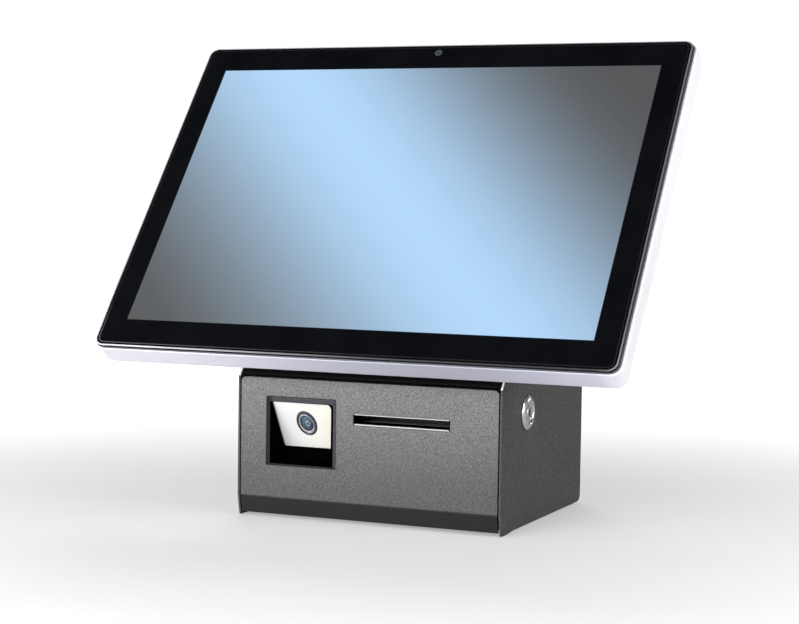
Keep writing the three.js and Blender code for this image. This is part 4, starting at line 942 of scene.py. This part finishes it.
def wnode(kind, **values):
    n = nt.nodes.new(kind)
    for k, v in values.items():
        setattr(n, k, v)
    return n


sx = wnode("ShaderNodeSeparateXYZ")
nt.links.new(wnode("ShaderNodeTexCoord").outputs["Generated"], sx.inputs[0])
rp = wnode("ShaderNodeValToRGB")
el = rp.color_ramp.elements
el[0].position, el[0].color = 0.0, (0.50, 0.50, 0.51, 1)
el[1].position, el[1].color = 1.0, (0.07, 0.07, 0.08, 1)
for pos, v in ((0.30, 0.62), (0.46, 0.85), (0.62, 0.45), (0.76, 0.10)):
    e = el.new(pos)
    e.color = (v, v, v * 1.02, 1)
nt.links.new(sx.outputs["Z"], wnode("ShaderNodeMapRange").inputs["Value"])
mr = [n for n in nt.nodes if n.type == "MAP_RANGE"][0]
mr.inputs["From Min"].default_value = -0.5
nt.links.new(mr.outputs["Result"], rp.inputs["Fac"])
# front of the room is lighter than the back
fr = wnode("ShaderNodeMapRange")
for k, v in (("From Min", -0.3), ("From Max", 0.7), ("To Min", 1.0), ("To Max", 0.42)):
    fr.inputs[k].default_value = v
nt.links.new(sx.outputs["Y"], fr.inputs["Value"])
nt.links.new(rp.outputs["Color"], bg.inputs["Color"])
nt.links.new(fr.outputs["Result"], bg.inputs["Strength"])
lp = wnode("ShaderNodeLightPath")
bg2 = wnode("ShaderNodeBackground")
mx = wnode("ShaderNodeMixShader")
bg2.inputs["Color"].default_value = (1, 1, 1, 1)
nt.links.new(lp.outputs["Is Camera Ray"], mx.inputs["Fac"])
nt.links.new(bg.outputs[0], mx.inputs[1])
nt.links.new(bg2.outputs[0], mx.inputs[2])
nt.links.new(mx.outputs[0], nt.nodes["World Output"].inputs["Surface"])


def area(name, loc, target, size, power, color=(1, 1, 1)):
    d = bpy.data.lights.new(name, "AREA")
    d.shape = "RECTANGLE"
    d.size, d.size_y = size
    d.energy = power
    d.color = color
    o = bpy.data.objects.new(name, d)
    o.location = loc
    o.rotation_euler = (Vector(target) - Vector(loc)).to_track_quat("-Z", "Y").to_euler()
    S.collection.objects.link(o)
    return o


area("key_front", (-0.55, -1.9, 0.50), (0.0, 0.0, 0.10), (1.3, 0.9), 46)
area("low_left", (-0.95, -0.85, 0.16), (-0.15, -0.1, 0.17), (0.5, 0.28), 3.2)
area("fill_right", (1.8, -0.35, 0.75), (0.1, 0.0, 0.2), (0.9, 1.2), 22)
area("card_right", (1.62, -1.2, 0.31), (0.1, 0.0, 0.1), (1.3, 0.6), 3.4)
area("card_back", (1.15, 1.9, 0.42), (0.1, 0.0, 0.1), (0.5, 0.35), 1.6)
area("top_back", (-0.6, 1.5, 1.7), (0, 0, 0.2), (1.4, 0.8), 16)

a, e_, r_ = (math.radians(v) for v in (23.33383, 3.53608, 0.86356))
back = Vector((math.sin(a) * math.cos(e_), -math.cos(a) * math.cos(e_), math.sin(e_)))
right = (-back).cross(Vector((0, 0, 1))).normalized()
up = right.cross(-back)
r2 = math.cos(r_) * right + math.sin(r_) * up
u2 = -math.sin(r_) * right + math.cos(r_) * up
K = 4.08
target = Vector((6.883854 * K, -Y_SHIFT, 43.327729 * K)) / 1000
eye = target + back * (381.258439 * K / 1000)
cam_d = bpy.data.cameras.new("cam")
cam_d.sensor_fit = "HORIZONTAL"
cam_d.sensor_width = 36.0
cam_d.lens = 1927.0943385 * 36 / 799
cam_d.clip_start, cam_d.clip_end = 0.05, 50
cam = bpy.data.objects.new("cam", cam_d)
cam.matrix_world = Matrix((
    (r2.x, u2.x, back.x, eye.x), (r2.y, u2.y, back.y, eye.y), (r2.z, u2.z, back.z, eye.z), (0, 0, 0, 1)))
S.collection.objects.link(cam)
S.camera = cam
S.view_settings.view_transform = "Standard"
S.view_settings.look = "None"
